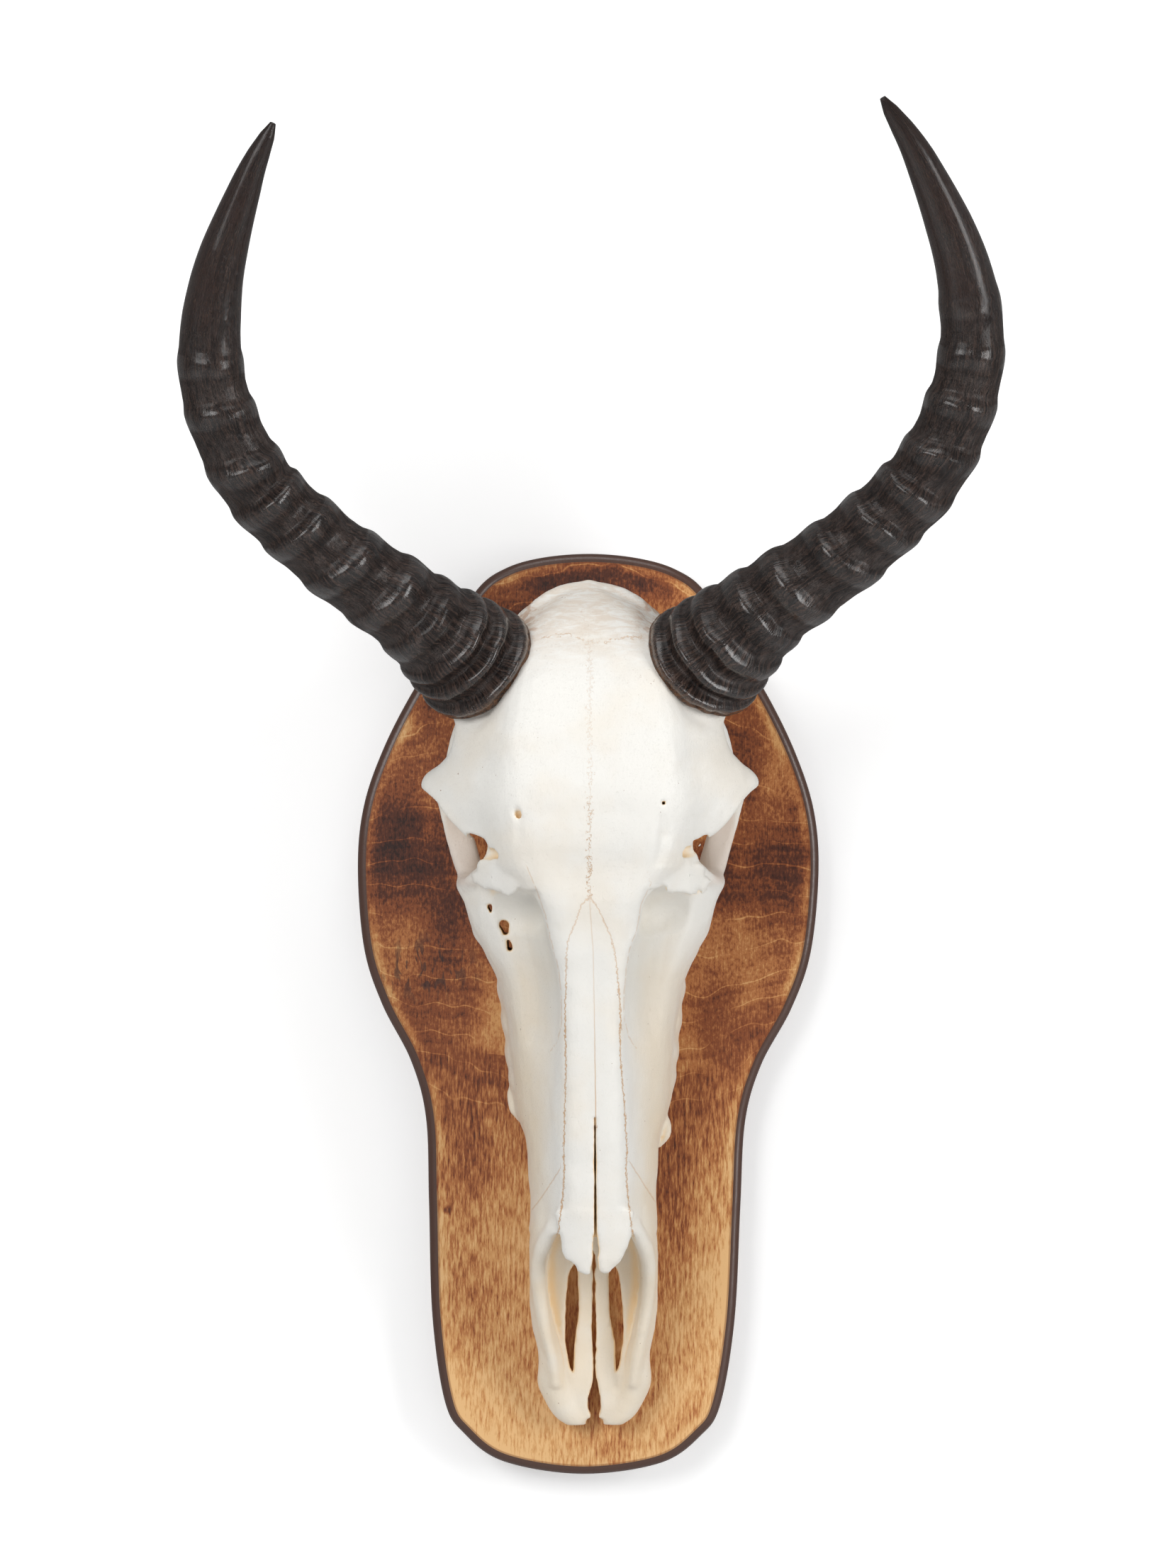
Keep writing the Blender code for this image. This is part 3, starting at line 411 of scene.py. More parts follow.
def lumps(points, size, seed=0):
    """Soft repeatable noise from -1 to 1, with lumps of the given size."""
    p = np.asarray(points, float) / size
    base = np.floor(p).astype(np.int64)
    f = p - base
    total = sum(weight * lattice(q[:, 0], q[:, 1], q[:, 2], seed)
                for q, weight in corners_of(base, f * f * (3 - 2 * f)))
    return total * 2 - 1


def roughness(points, size, seed=0, octaves=3):
    total = np.zeros(len(points))
    share = 1.0
    for k in range(octaves):
        total += share * lumps(points, size / 2 ** k, seed + 17 * k)
        share *= 0.5
    return total


# The field of distances in which the bone grows

AXES = [GRID_LOW[i] + STEP * np.arange(GRID_COUNT[i]) for i in range(3)]


def smooth_min(a, b, k):
    h = np.clip(0.5 + 0.5 * (b - a) / k, 0.0, 1.0)
    return b + (a - b) * h - k * h * (1 - h)


def window(low, high):
    """Slices of the grid that hold a box, and its open axes."""
    cuts = []
    for i in range(3):
        first = max(0, int((low[i] - GRID_LOW[i]) / STEP))
        last = min(GRID_COUNT[i], int((high[i] - GRID_LOW[i]) / STEP) + 2)
        cuts.append(slice(first, last))
    open_axes = np.meshgrid(*[AXES[i][cuts[i]] for i in range(3)], indexing="ij", sparse=True)
    return tuple(cuts), open_axes


def join(field, shape, k):
    cuts, distance = shape
    field[cuts] = smooth_min(field[cuts], distance, k)


def carve(field, shape, k):
    cuts, distance = shape
    field[cuts] = -smooth_min(-field[cuts], distance, k)


def rod(rows, steps=4, closed=False):
    """A round bar of changing thickness through (across, out, up, radius) rows."""
    rows = np.array(rows, float)
    pts, radii = rows[:, :3], rows[:, 3]
    if closed:
        line = smooth_loop(pts, len(pts) * steps)
        line = np.vstack([line, line[:1]])
        radii = np.append(radii, radii[0])
    else:
        line = smooth_through(pts, steps)
    thick = np.interp(np.arange(len(line)) / steps, np.arange(len(radii)), radii)
    reach = radii.max() + BAND
    cuts, (x, y, z) = window(line.min(0) - reach, line.max(0) + reach)
    best = np.full([c.stop - c.start for c in cuts], BAND, np.float32)
    for a, b, ra, rb in zip(line, line[1:], thick, thick[1:]):
        ab = b - a
        length = max(float(ab @ ab), 1e-9)
        px, py, pz = x - a[0], y - a[1], z - a[2]
        t = np.clip((px * ab[0] + py * ab[1] + pz * ab[2]) / length, 0, 1)
        away = np.sqrt((px - t * ab[0]) ** 2 + (py - t * ab[1]) ** 2 + (pz - t * ab[2]) ** 2)
        best = np.minimum(best, away - (ra + (rb - ra) * t))
    return cuts, best


def ball(centre, radii):
    centre = np.array(centre, float)
    radii = np.array(radii, float)
    cuts, (x, y, z) = window(centre - radii - BAND, centre + radii + BAND)
    px, py, pz = x - centre[0], y - centre[1], z - centre[2]
    k0 = np.sqrt((px / radii[0]) ** 2 + (py / radii[1]) ** 2 + (pz / radii[2]) ** 2)
    k1 = np.sqrt((px / radii[0] ** 2) ** 2 + (py / radii[1] ** 2) ** 2 + (pz / radii[2] ** 2) ** 2)
    return cuts, k0 * (k0 - 1.0) / np.maximum(k1, 1e-6)


def both(shape, first, *rest):
    """The same form on the right and, mirrored, on the left."""
    other = mirrored(first) if isinstance(first[0], (tuple, list)) else mirrored([first])[0]
    return [shape(first, *rest), shape(other, *rest)]


def line_distance(line, x, z):
    """Distance in the plane to a line of (across, up) points, and how far along it that is."""
    best = np.full(np.broadcast(x, z).shape, 1e9)
    along = np.zeros_like(best)
    for i, (a, b) in enumerate(zip(line, line[1:])):
        ab = b - a
        length = max(float(ab @ ab), 1e-9)
        t = np.clip(((x - a[0]) * ab[0] + (z - a[1]) * ab[1]) / length, 0, 1)
        away = np.hypot(x - a[0] - t * ab[0], z - a[1] - t * ab[1])
        closer = away < best
        best = np.where(closer, away, best)
        along = np.where(closer, i + t, along)
    return best, along


def ragged(x, z, size, seed):
    """Noise over a plane, on an open grid."""
    gx, gz = np.broadcast_arrays(x, z)
    flat = np.stack([gx.ravel(), gz.ravel(), np.zeros(gx.size)], axis=1)
    return roughness(flat, size, seed).reshape(gx.shape)


def flat_window(loop, reach, low, high):
    """The part of the grid round (across, up) points, from low to high."""
    return window((loop[:, 0].min() - reach, low, loop[:, 1].min() - reach),
                  (loop[:, 0].max() + reach, high, loop[:, 1].max() + reach))


def slot(rows, low, high, wobble, seed):
    """A cut square to the board along (across, up, half width) rows."""
    rows = np.array(rows, float)
    line = smooth_through(rows[:, :2], 4)
    cuts, (x, y, z) = flat_window(line, rows[:, 2].max() + BAND, low - BAND, high + BAND)
    away, along = line_distance(line, x, z)
    width = np.interp(along / 4, np.arange(len(rows)), rows[:, 2])
    flat = away - width + wobble * ragged(x, z, 3.0, seed)
    return cuts, np.maximum(flat, np.maximum(low - y, y - high))


def plate(outline, middle, half_thickness, rounding, wobble, size, seed):
    """A plate inside a closed (across, up) outline; middle(across, up) is how far out it lies."""
    loop = smooth_loop([np.array(p, float) for p in outline], len(outline) * 4)
    closed = np.vstack([loop, loop[:1]])
    _, (x, _, z) = flat_window(loop, BAND, 0, 0)
    away, _ = line_distance(closed, x, z)
    inside = np.zeros(away.shape, bool)
    for a, b in zip(closed, closed[1:]):
        spans = (a[1] > z) != (b[1] > z)
        rise = b[1] - a[1] if b[1] != a[1] else 1e-9
        inside ^= spans & (x < (b[0] - a[0]) * (z - a[1]) / rise + a[0])
    flat = np.where(inside, -away, away) + wobble * ragged(x, z, size, seed)
    out = middle(x, z)
    reach = half_thickness + BAND
    cuts, (x, y, z) = flat_window(loop, BAND, float(out.min()) - reach, float(out.max()) + reach)
    across_plate = np.abs(y - out) - half_thickness
    return cuts, -smooth_min(-np.broadcast_to(flat, across_plate.shape), -across_plate, rounding)


def from_polygons(points, triangles, quads):
    """Distances to a closed mesh, on the whole grid."""
    grid = openvdb.FloatGrid.createLevelSetFromPolygons(
        ((np.asarray(points) - GRID_LOW) / STEP).astype(np.float32),
        triangles=np.asarray(triangles, np.uint32), quads=np.asarray(quads, np.uint32),
        halfWidth=BAND / STEP)
    values = np.zeros(GRID_COUNT, np.float32)
    grid.copyToArray(values, ijk=(0, 0, 0))
    return values * STEP


def sides_of(rings):
    """Points and side quads of a row of equal rings."""
    rings = np.array(rings)
    rows, count, _ = rings.shape
    index = np.arange(rows * count).reshape(rows, count)
    after = np.roll(index, -1, axis=1)
    quads = np.stack([index[:-1], after[:-1], after[1:], index[1:]], axis=-1).reshape(-1, 4)
    return rings.reshape(-1, 3), quads, index


def skinned(rings):
    """Points, end fans and side quads of a row of equal rings."""
    points, quads, index = sides_of(rings)
    low, high = index[0], index[-1]
    middles = np.array([points[low].mean(0), points[high].mean(0)])
    first = np.full(len(low), len(points))
    fans = np.concatenate([np.stack([first, np.roll(low, -1), low], axis=1),
                           np.stack([first + 1, high, np.roll(high, -1)], axis=1)])
    return np.vstack([points, middles]), fans, quads


def section_loft(stations, crown=ROOF_CROWN, steps=6, sides=64):
    anchors = []
    for up, *columns in stations:
        half = [(0, columns[0][1] + crown), *columns, (0, columns[-1][1])]
        anchors.append([(a, o, up) for a, o in half])
    columns = [smooth_through(column, steps) for column in zip(*anchors)]
    rings = []
    for half in zip(*columns):
        other = [p * (-1, 1, 1) for p in half[1:-1]]
        rings.append(smooth_loop(list(half) + other[::-1], sides))
    return from_polygons(*skinned(rings))


def box_loft(rows, middles=None, steps=6, sides=40):
    """An upright bar or hollow from (up, half width, lowest, highest) rows, round in section."""
    middles = middles or [0.0] * len(rows)
    across = smooth_through([(m, 0.0) for m in middles], steps)[:, 0]
    a = 2 * np.pi * np.arange(sides) / sides
    rings = []
    for middle, (up, half, low, high) in zip(across, smooth_through(rows, steps)):
        x = middle + half * np.cos(a)
        y = (low + high) / 2 + (high - low) / 2 * np.sin(a)
        rings.append(np.stack([x, y, np.full(sides, up)], axis=1))
    return from_polygons(*skinned(rings))


def whole(values):
    return (slice(None), slice(None), slice(None)), values


def sample(field, points):
    """The field between its grid points, at (across, out, up) points."""
    p = (np.asarray(points) - GRID_LOW) / STEP
    p = np.clip(p, 0, np.array(GRID_COUNT) - 1.001)
    base = p.astype(int)
    return sum(weight * field[q[:, 0], q[:, 1], q[:, 2]] for q, weight in corners_of(base, p - base))


def nose_top(across, up):
    """How far out the top of the nose bones lies."""
    return value_at(NOSE_TOP, up) - NOSE_TOP_ROUND * across ** 2


def face_front(across, up):
    """How far out the front of the face lies beside the tear bones."""
    return value_at(FACE_FRONT, np.abs(across)) + FACE_FRONT_SLOPE * (up - FACE_FRONT_UP)


def seat_of(path, side):
    centre = np.array([path[0][0], HORN_OUT_AT_SEAT, path[0][1]])
    axis = np.array([side * SEAT_AXIS[0], SEAT_AXIS[1], SEAT_AXIS[2]])
    return centre, axis / np.linalg.norm(axis)


def grow_skull():
    """The bone as a field of distances: negative inside."""
    field = section_loft(STATIONS)
    field = smooth_min(field, section_loft(BROW), 6.0)
    for side in (1, -1):
        rows = [(up, half, low, high) for up, _, half, low, high in SNOUT_WALL]
        field = smooth_min(field, box_loft(rows, [side * row[1] for row in SNOUT_WALL]), 3.0)
    field = smooth_min(field, box_loft(SNOUT_FLOOR), 3.0)
    field = smooth_min(field, box_loft(NOSE_ROOF), 2.0)
    forms = both(rod, EYE_RIM, 5, True)
    for rows in (CHEEK_ARCH, BEHIND_EYE_BAR, NAPE_CREST, EAR_SPUR, WING_PLATE):
        forms += both(rod, rows)
    for middle, radii in (CONDYLE, EAR_BULB):
        forms += both(ball, middle, radii)
    for across, up in ROOT_BULGES:
        forms += both(ball, (across, ROOT_BULGE_OUT, up), ROOT_BULGE_RADII)
    for form in forms:
        join(field, form, 4.0)
    for flake in (FLAKE_LEFT, FLAKE_RIGHT):
        join(field, rod(flake), 1.5)
    for path, side in ((HORN_PATH_LEFT, -1), (HORN_PATH_RIGHT, 1)):
        centre, axis = seat_of(path, side)
        join(field, rod([(*(centre + axis * slide), radius) for slide, radius in HORN_CORE]), 8.0)
    for side in (1, -1):
        for ((across, out, up), radii), blending in ((EYE_SOCKET, 2.5), (FACE_PIT, 3.0)):
            carve(field, ball((side * across, out, up), radii), blending)
    add_pits(field)
    for rim in both(rod, NOSE_RIM):
        join(field, rim, 3.5)
    carve(field, whole(box_loft(NOSE_HOLLOW)), 1.2)
    carve(field, ball(*SPINAL_HOLE), 2.0)
    add_plates(field, (TIP_PLATE_LEFT, TIP_PLATE_RIGHT), lambda x, z: nose_top(x, z) - 2.4,
               (2.2, 2.0, 0.5, 3.5), 1, 0.8)
    cut_slots(field, SNOUT_CUTS)
    add_plates(field, (TEAR_PLATE_LEFT, TEAR_PLATE_RIGHT), lambda x, z: face_front(x, z) + 0.2,
               (3.6, 2.4, 1.6, 3.2), 8, 0.9)
    cut_brow(field)
    cut_slots(field, CHEEK_CUTS)
    return field


def add_pits(field):
    """A sharp ridge on each side of the roof, and the steep wall that falls from it into the pit."""
    inwards, sunk = PIT_RIDGE_INSET
    for line, side in ((PIT_EDGE_LEFT, -1), (PIT_EDGE_RIGHT, 1)):
        line = np.array(sorted(line, key=lambda p: p[1]), float)
        radii = PIT_RIDGE_START + [PIT_RIDGE_RADIUS] * len(line)
        ridge = [(x - side * inwards, float(value_at(PIT_RIDGE, up)) - sunk, up, radius)
                 for (x, up), radius in zip(line[2:], radii)]
        join(field, rod(ridge), 4.0)
        low, high = line[0, 1], line[-1, 1]
        reach = side * PIT_REACH
        cuts, (x, y, z) = window((min(0, reach), PIT_OUT[0], low - 4), (max(0, reach), PIT_OUT[1], high + 4))
        beyond = side * x - np.interp(z, line[:, 1], side * line[:, 0])
        top = value_at(PIT_RIDGE, z) - value_at(PIT_WALL, beyond)
        shape = np.maximum((top - y) * PIT_WALL_SLANT, -beyond)
        shape = np.maximum(shape, np.maximum(low + 1 - z, z - min(high, PIT_TOP)))
        carve(field, (cuts, shape), 1.6)


def add_plates(field, outlines, middle, form, seed, blending):
    for k, outline in enumerate(outlines):
        join(field, plate(outline, middle, *form, seed + k), blending)


def cut_slots(field, slots):
    for rows, low, high, wobble, seed, blending in slots:
        carve(field, slot(rows, low, high, wobble, seed), blending)


def cut_brow(field):
    for side in (1, -1):
        dip = [(side * x, float(face_front(x, up)) + TEAR_DIP_OUT, up, radius) for x, up, radius in TEAR_DIP]
        carve(field, rod(dip), 2.0)
    for rows, blending in BROW_HOLES:
        carve(field, rod(rows), blending)


def polygons_of(field):
    """The surface of a field as points (skull frame) and faces."""
    grid = openvdb.FloatGrid(BAND / STEP)
    grid.copyFromArray((field / STEP).astype(np.float32))
    points, triangles, quads = grid.convertToPolygons(isovalue=0.0, adaptivity=0.0)
    return np.asarray(points, float) * STEP + GRID_LOW, triangles, quads


def row_points(points):
    """Points of the skull's frame, in millimetres, as metres of the shared frame."""
    p = np.asarray(points, float) * (1, -1, 1) * MM
    m = np.array(SKULL_TO_ROW)
    return p @ m[:3, :3].T + m[:3, 3]


def skull_points(points):
    """The other way round."""
    m = np.array(SKULL_TO_ROW.inverted())
    return (np.asarray(points, float) @ m[:3, :3].T + m[:3, 3]) / MM * (1, -1, 1)


def new_mesh(name, points, faces, smooth=True):
    """An object from points in metres and a list of arrays of faces, each with equal sides."""
    mesh = bpy.data.meshes.new(name)
    mesh.vertices.add(len(points))
    mesh.vertices.foreach_set("co", np.asarray(points, np.float32).ravel())
    sizes = np.concatenate([np.full(len(f), f.shape[1]) for f in faces if len(f)])
    corners = np.concatenate([np.asarray(f).ravel() for f in faces if len(f)]).astype(np.int32)
    mesh.loops.add(len(corners))
    mesh.loops.foreach_set("vertex_index", corners)
    mesh.polygons.add(len(sizes))
    starts = np.concatenate([[0], np.cumsum(sizes)[:-1]]).astype(np.int32)
    mesh.polygons.foreach_set("loop_start", starts)
    mesh.update(calc_edges=True)
    mesh.validate()
    if smooth:
        mesh.shade_smooth()
    obj = bpy.data.objects.new(name, mesh)
    bpy.context.scene.collection.objects.link(obj)
    return obj


def apply_modifiers(obj):
    graph = bpy.context.evaluated_depsgraph_get()
    mesh = bpy.data.meshes.new_from_object(obj.evaluated_get(graph))
    obj.modifiers.clear()
    old = obj.data
    obj.data = mesh
    bpy.data.meshes.remove(old)
    return obj


def read_vectors(obj, what):
    found = np.empty(len(obj.data.vertices) * 3, np.float32)
    obj.data.vertices.foreach_get(what, found)
    return found.reshape(-1, 3).astype(float)


def set_coordinates(obj, points):
    obj.data.vertices.foreach_set("co", np.asarray(points, np.float32).ravel())
    obj.data.update()


def set_values(obj, name, values):
    attribute = obj.data.attributes.new(name, "FLOAT", "POINT")
    attribute.data.foreach_set("value", np.asarray(values, np.float32))


def across_line(points, line):
    """Distance from a line that runs up the face, negative on its left."""
    order = np.array(sorted(line, key=lambda p: p[1]), float)
    away, _ = line_distance(order, points[:, 0], points[:, 2])
    return np.where(points[:, 0] < np.interp(points[:, 2], order[:, 1], order[:, 0]), -away, away)


def nearest(values):
    """Of several signed distances, the one that is smallest."""
    stack = np.stack(values)
    pick = np.argmin(np.abs(stack), axis=0)
    return np.take_along_axis(stack, pick[None], axis=0)[0]


def build_skull():
    field = grow_skull()
    points, triangles, quads = polygons_of(field)
    bone = new_mesh("bone", row_points(points), [np.asarray(triangles), np.asarray(quads)])
    thin = bone.modifiers.new("thin", "DECIMATE")
    thin.ratio = min(1.0, BONE_TRIANGLES / (len(triangles) + 2 * len(quads)))
    apply_modifiers(bone)
    p = skull_points(read_vectors(bone, "co"))
    n = read_vectors(bone, "normal") * (1, -1, 1)
    if (sample(field, p + n) - sample(field, p - n)).mean() < 0:
        bone.data.flip_normals()
        n = -n
    p = p + n * sum(height * roughness(p, *form) for height, *form in BONE_WEAR)[:, None]
    set_coordinates(bone, row_points(p))
    # How sheltered each point is; the bone material uses it to paint shade into the hollows
    openness = [np.clip(sample(field, p + n * reach) / reach, 0, 1) for reach in SHELTER_REACH]
    values = {
        "across": p[:, 0], "out": p[:, 1], "up": p[:, 2],
        "shelter": 1 - sum(openness) / len(openness),
        "mid_seam": across_line(p, MID_SEAM),
        "crown_seam": p[:, 2] - value_at(CROWN_SEAM, p[:, 0]),
    }
    for name, left, right in SIDE_SEAMS:
        values[name] = nearest([across_line(p, left), -across_line(p, right)])
    for name, column in values.items():
        set_values(bone, name, column)
    return bone


def horn_frames(path, side, count):
    """Centre, axis and two cross directions at even steps from the seat to the tip."""
    raw = smooth_through(path, 40)
    travelled = np.concatenate([[0], np.cumsum(np.linalg.norm(np.diff(raw, axis=0), axis=1))])
    share = np.arange(count + 1) / count
    flat = [np.interp(share * travelled[-1], travelled, raw[:, i]) for i in (0, 1)]
    out = HORN_OUT_AT_SEAT + sum(c * share ** (n + 1) for n, c in enumerate(HORN_OUT_CURVE))
    centres = np.stack([flat[0], out, flat[1]], axis=1)
    tangent = np.gradient(centres, axis=0)
    tangent /= np.linalg.norm(tangent, axis=1)[:, None]
    seat_axis = seat_of(path, side)[1]
    weight = ease(share, 0.0, SEAT_BLEND)[:, None]
    axis = seat_axis * (1 - weight) + tangent * weight
    axis /= np.linalg.norm(axis, axis=1)[:, None]
    first = np.array([0.0, 1.0, 0.0]) - axis * axis[:, 1:2]
    first /= np.linalg.norm(first, axis=1)[:, None]
    second = np.cross(axis, first)
    return share, centres, axis, first, second, travelled[-1]


def ring_swell(share, angle, side, crests):
    """How far the surface stands out there, from 0 to 1, because of the rings."""
    swell = np.zeros_like(share)
    lean = -side * np.sin(angle)
    places = [(inner + outer) / 2 + (outer - inner) / 2 * lean for inner, outer in crests]
    places = [places[0] - FIRST_RING_GAP] + places + [places[-1] + LAST_RING_GAP]
    for before, crest, after in zip(places, places[1:], places[2:]):
        reach = np.where(share < crest, (crest - before) * RING_RISE, (after - crest) * RING_FALL)
        x = np.clip((share - crest) / np.clip(reach, *RING_REACH), -1, 1)
        swell = np.maximum(swell, np.cos(x * np.pi / 2) ** 2)
    return swell


def build_horn(name, path, side, crests, seed):
    share, centres, axis, first, second, length = horn_frames(path, side, HORN_STATIONS)
    angle = 2 * np.pi * np.arange(HORN_SIDES) / HORN_SIDES
    s = share[:, None] + np.zeros(HORN_SIDES)
    a = angle[None, :] + np.zeros_like(s)
    grain = np.stack([np.cos(a) * GRAIN_RADIUS, np.sin(a) * GRAIN_RADIUS, s * length], axis=-1)

    def rough(size, k, stretch=1.0):
        return roughness(grain.reshape(-1, 3) * (1, 1, stretch), size, seed + k, 2).reshape(s.shape)

    # The rings waver round the horn, and are tall and close near its base
    fade = np.clip((RINGS_END - s) * 4, 0, 1)
    waver = (0.0040 * rough(16, 1, 0.4) + 0.001 * rough(5, 6, 0.5)) * fade
    swell = ring_swell(s + waver, a, side, crests)
    height = RING_HEIGHT * (0.35 + 0.65 * fade) * (1.0 + 0.15 * np.cos(a) + 0.08 * rough(12, 2, 0.5))
    height *= (1 + 0.15 * ease(s, 0.16, 0.04)) * (1 + RING_FRONT * fade * np.maximum(np.cos(a), 0) ** 2)
    valley = RING_VALLEY * np.minimum(1, s * 20) * (0.4 + 0.6 * fade)
    radius = value_at(HORN_RADII, s) + swell * height - valley
    # Wrinkles between the rings, lengthwise cords and shallow dents
    radius = (radius + 0.05 * rough(2.6, 3) * fade * (1 - 0.5 * swell) + 0.06 * rough(7.0, 7, 0.8) * fade
              + 0.14 * rough(1.9, 4, 0.08) * (0.2 + 0.8 * fade) * np.clip(radius / 10, 0, 1))
    radius = np.maximum(radius, HORN_LEAST_RADIUS)
    ring = np.cos(a)[..., None] * first[:, None, :] + np.sin(a)[..., None] * second[:, None, :]
    # A crusty lip reaches a little over the bone
    lip = []
    rim_noise = rough(5.0, 5)[0]
    for slide, grow in HORN_LIP:
        edge = radius[0] + grow + 0.5 * rim_noise
        reach = slide + 0.8 * rim_noise
        lip.append(centres[0] + axis[0] * reach[:, None] + edge[:, None] * ring[0])
    rings = np.concatenate([np.array(lip), centres[:, None, :] + radius[..., None] * ring])
    points, triangles, quads = skinned(rings)
    horn = new_mesh(name, row_points(points), [triangles, quads])
    make_outward(horn)

    def with_lip(values, at_lip):
        return np.concatenate([np.full((len(lip), HORN_SIDES), at_lip), values]).ravel()

    for label, column in (("grain_x", np.tile(grain[0, :, 0], len(rings))),
                          ("grain_y", np.tile(grain[0, :, 1], len(rings))),
                          ("along", with_lip(s * length, -2.0)),
                          ("swell", with_lip(swell, 0.0)), ("share", with_lip(s, 0.0))):
        set_values(horn, label, np.concatenate([column, column[:1], column[-1:]]))
    return horn


def board_loop():
    right = [np.array(p, float) for p in BOARD_OUTLINE]
    corners = right + [p * (-1, 1) for p in right[1:-1]][::-1]
    return smooth_loop(corners, len(corners) * BOARD_STEPS)


def inset(loop, amount):
    """A closed loop, moved inwards along its normals."""
    tangent = np.roll(loop, -1, axis=0) - np.roll(loop, 1, axis=0)
    tangent /= np.linalg.norm(tangent, axis=1)[:, None]
    inward = np.stack([tangent[:, 1], -tangent[:, 0]], axis=1)
    return loop + inward * amount


def build_board():
    loop = board_loop()
    edge = BOARD_THICKNESS - BOARD_EDGE_ROUND
    profile = [(0.6, 0.0), (0.0, 0.6), (0.0, 4.0), (0.0, 10.0), (0.0, edge)]
    for b in np.arange(1, 9) / 8 * np.pi / 2:
        profile.append((BOARD_EDGE_ROUND * (1 - math.cos(b)), edge + BOARD_EDGE_ROUND * math.sin(b)))
    profile += [(amount, BOARD_THICKNESS) for amount in BOARD_INSETS]
    rings = []
    rims = []
    for amount, depth in profile:
        flat = inset(loop, amount)
        rings.append(np.stack([flat[:, 0], np.full(len(flat), -depth), flat[:, 1]], axis=1))
        rims.append(np.full(len(flat), amount if depth > edge else 0.0))
    points, quads, index = sides_of(rings)
    board = new_mesh("board", points * MM, [quads, index[:1, ::-1], index[-1:]], smooth=False)
    set_values(board, "inset", np.concatenate(rims))
    make_outward(board)
    across, up, radius, depth = HANGING_HOLE
    holes = [turned(across, up, [(radius + 0.5, -1.0), (radius, 0.5), (radius, depth - 1.5), (1.5, depth)])]
    head = SCREW_HEAD_RADIUS + CLEARANCE
    shank = SCREW_RADIUS + CLEARANCE
    for up in SCREW_HOLES.values():
        holes.append(turned(SKULL_SHIFT, up, [
            (head + 0.6, -1.0), (head, SCREW_SUNK), (shank, SCREW_SUNK + SCREW_HEAD_DEPTH),
            (shank, BOARD_THICKNESS + 1)]))
    for rings in holes:
        points, triangles, quads = skinned(rings)
        cutter = new_mesh("hole", points * MM, [triangles, quads])
        make_outward(cutter)
        cut = board.modifiers.new("hole", "BOOLEAN")
        cut.operation = "DIFFERENCE"
        cut.solver = "EXACT"
        cut.object = cutter
        apply_modifiers(board)
        bpy.data.objects.remove(cutter, do_unlink=True)
    board.data.shade_smooth()
    board.data.set_sharp_from_angle(angle=math.radians(40))
    return board


def make_outward(obj):
    """Turns all faces outwards, judged by the volume that they enclose."""
    co = read_vectors(obj, "co")
    obj.data.calc_loop_triangles()
    tri = np.empty(len(obj.data.loop_triangles) * 3, np.int32)
    obj.data.loop_triangles.foreach_get("vertices", tri)
    a, b, c = (co[tri.reshape(-1, 3)[:, i]] for i in range(3))
    if np.sum(a * np.cross(b, c)) < 0:
        obj.data.flip_normals()


def turned(across, up, profile, sides=48):
    a = 2 * np.pi * np.arange(sides) / sides
    return [np.stack([across + r * np.cos(a), np.full(sides, -d), up + r * np.sin(a)], axis=1)
            for r, d in profile]


def build_teeth():
    """Cheek teeth with two lobes and worn crescents, each with the node that it replaces."""
    teeth = []
    for side, word in ((-1, "left"), (1, "right")):
        up = TOOTH_ROW_START
        for i, length in enumerate(TOOTH_LENGTHS):
            middle = up + length / 2
            across = float(value_at(TOOTH_ROW_ACROSS, middle))
            label = "tooth_%s_%d" % (word, i + 1)
            tooth = build_tooth(label, side, middle, across, length / 2, TOOTH_HALF_WIDTHS[i], i)
            teeth.append((tooth, "cheek_" + label))
            up += length + TOOTH_GAP
    return teeth


def build_tooth(name, side, up, across, half_length, half_width, number):
    a = 2 * np.pi * np.arange(TOOTH_SIDES) / TOOTH_SIDES
    c, s = np.cos(a), np.sin(a)
    two = 1.0 if number > 2 else 0.45
    fold = 1 + np.where(c > 0, 0.13, 0.09) * two * np.cos(4 * a)
    along_unit = np.sign(s) * np.abs(s) ** TOOTH_SQUARENESS
    across_unit = np.sign(c) * np.abs(c) ** TOOTH_SQUARENESS * fold
    rings = []
    for out, share in TOOTH_LEVELS:
        ridge = 0.25 * np.cos(3 * a + number) if share < 0.8 and out < 3 else 0.0
        x = side * (across + across_unit * half_width * share)
        y = out + ridge + np.zeros(TOOTH_SIDES)
        z = up + along_unit * half_length * share
        rings.append(np.stack([x, np.maximum(y, TOOTH_LEAST_OUT), z], axis=1))
    points, triangles, quads = skinned(rings)
    tooth = new_mesh(name, row_points(points), [triangles, quads])
    make_outward(tooth)
    worn = [np.full(TOOTH_SIDES, share if out < 3 else 2.0) for out, share in TOOTH_LEVELS]
    set_values(tooth, "worn", np.concatenate(worn + [[2.0, 0.1]]))
    return tooth


# Materials

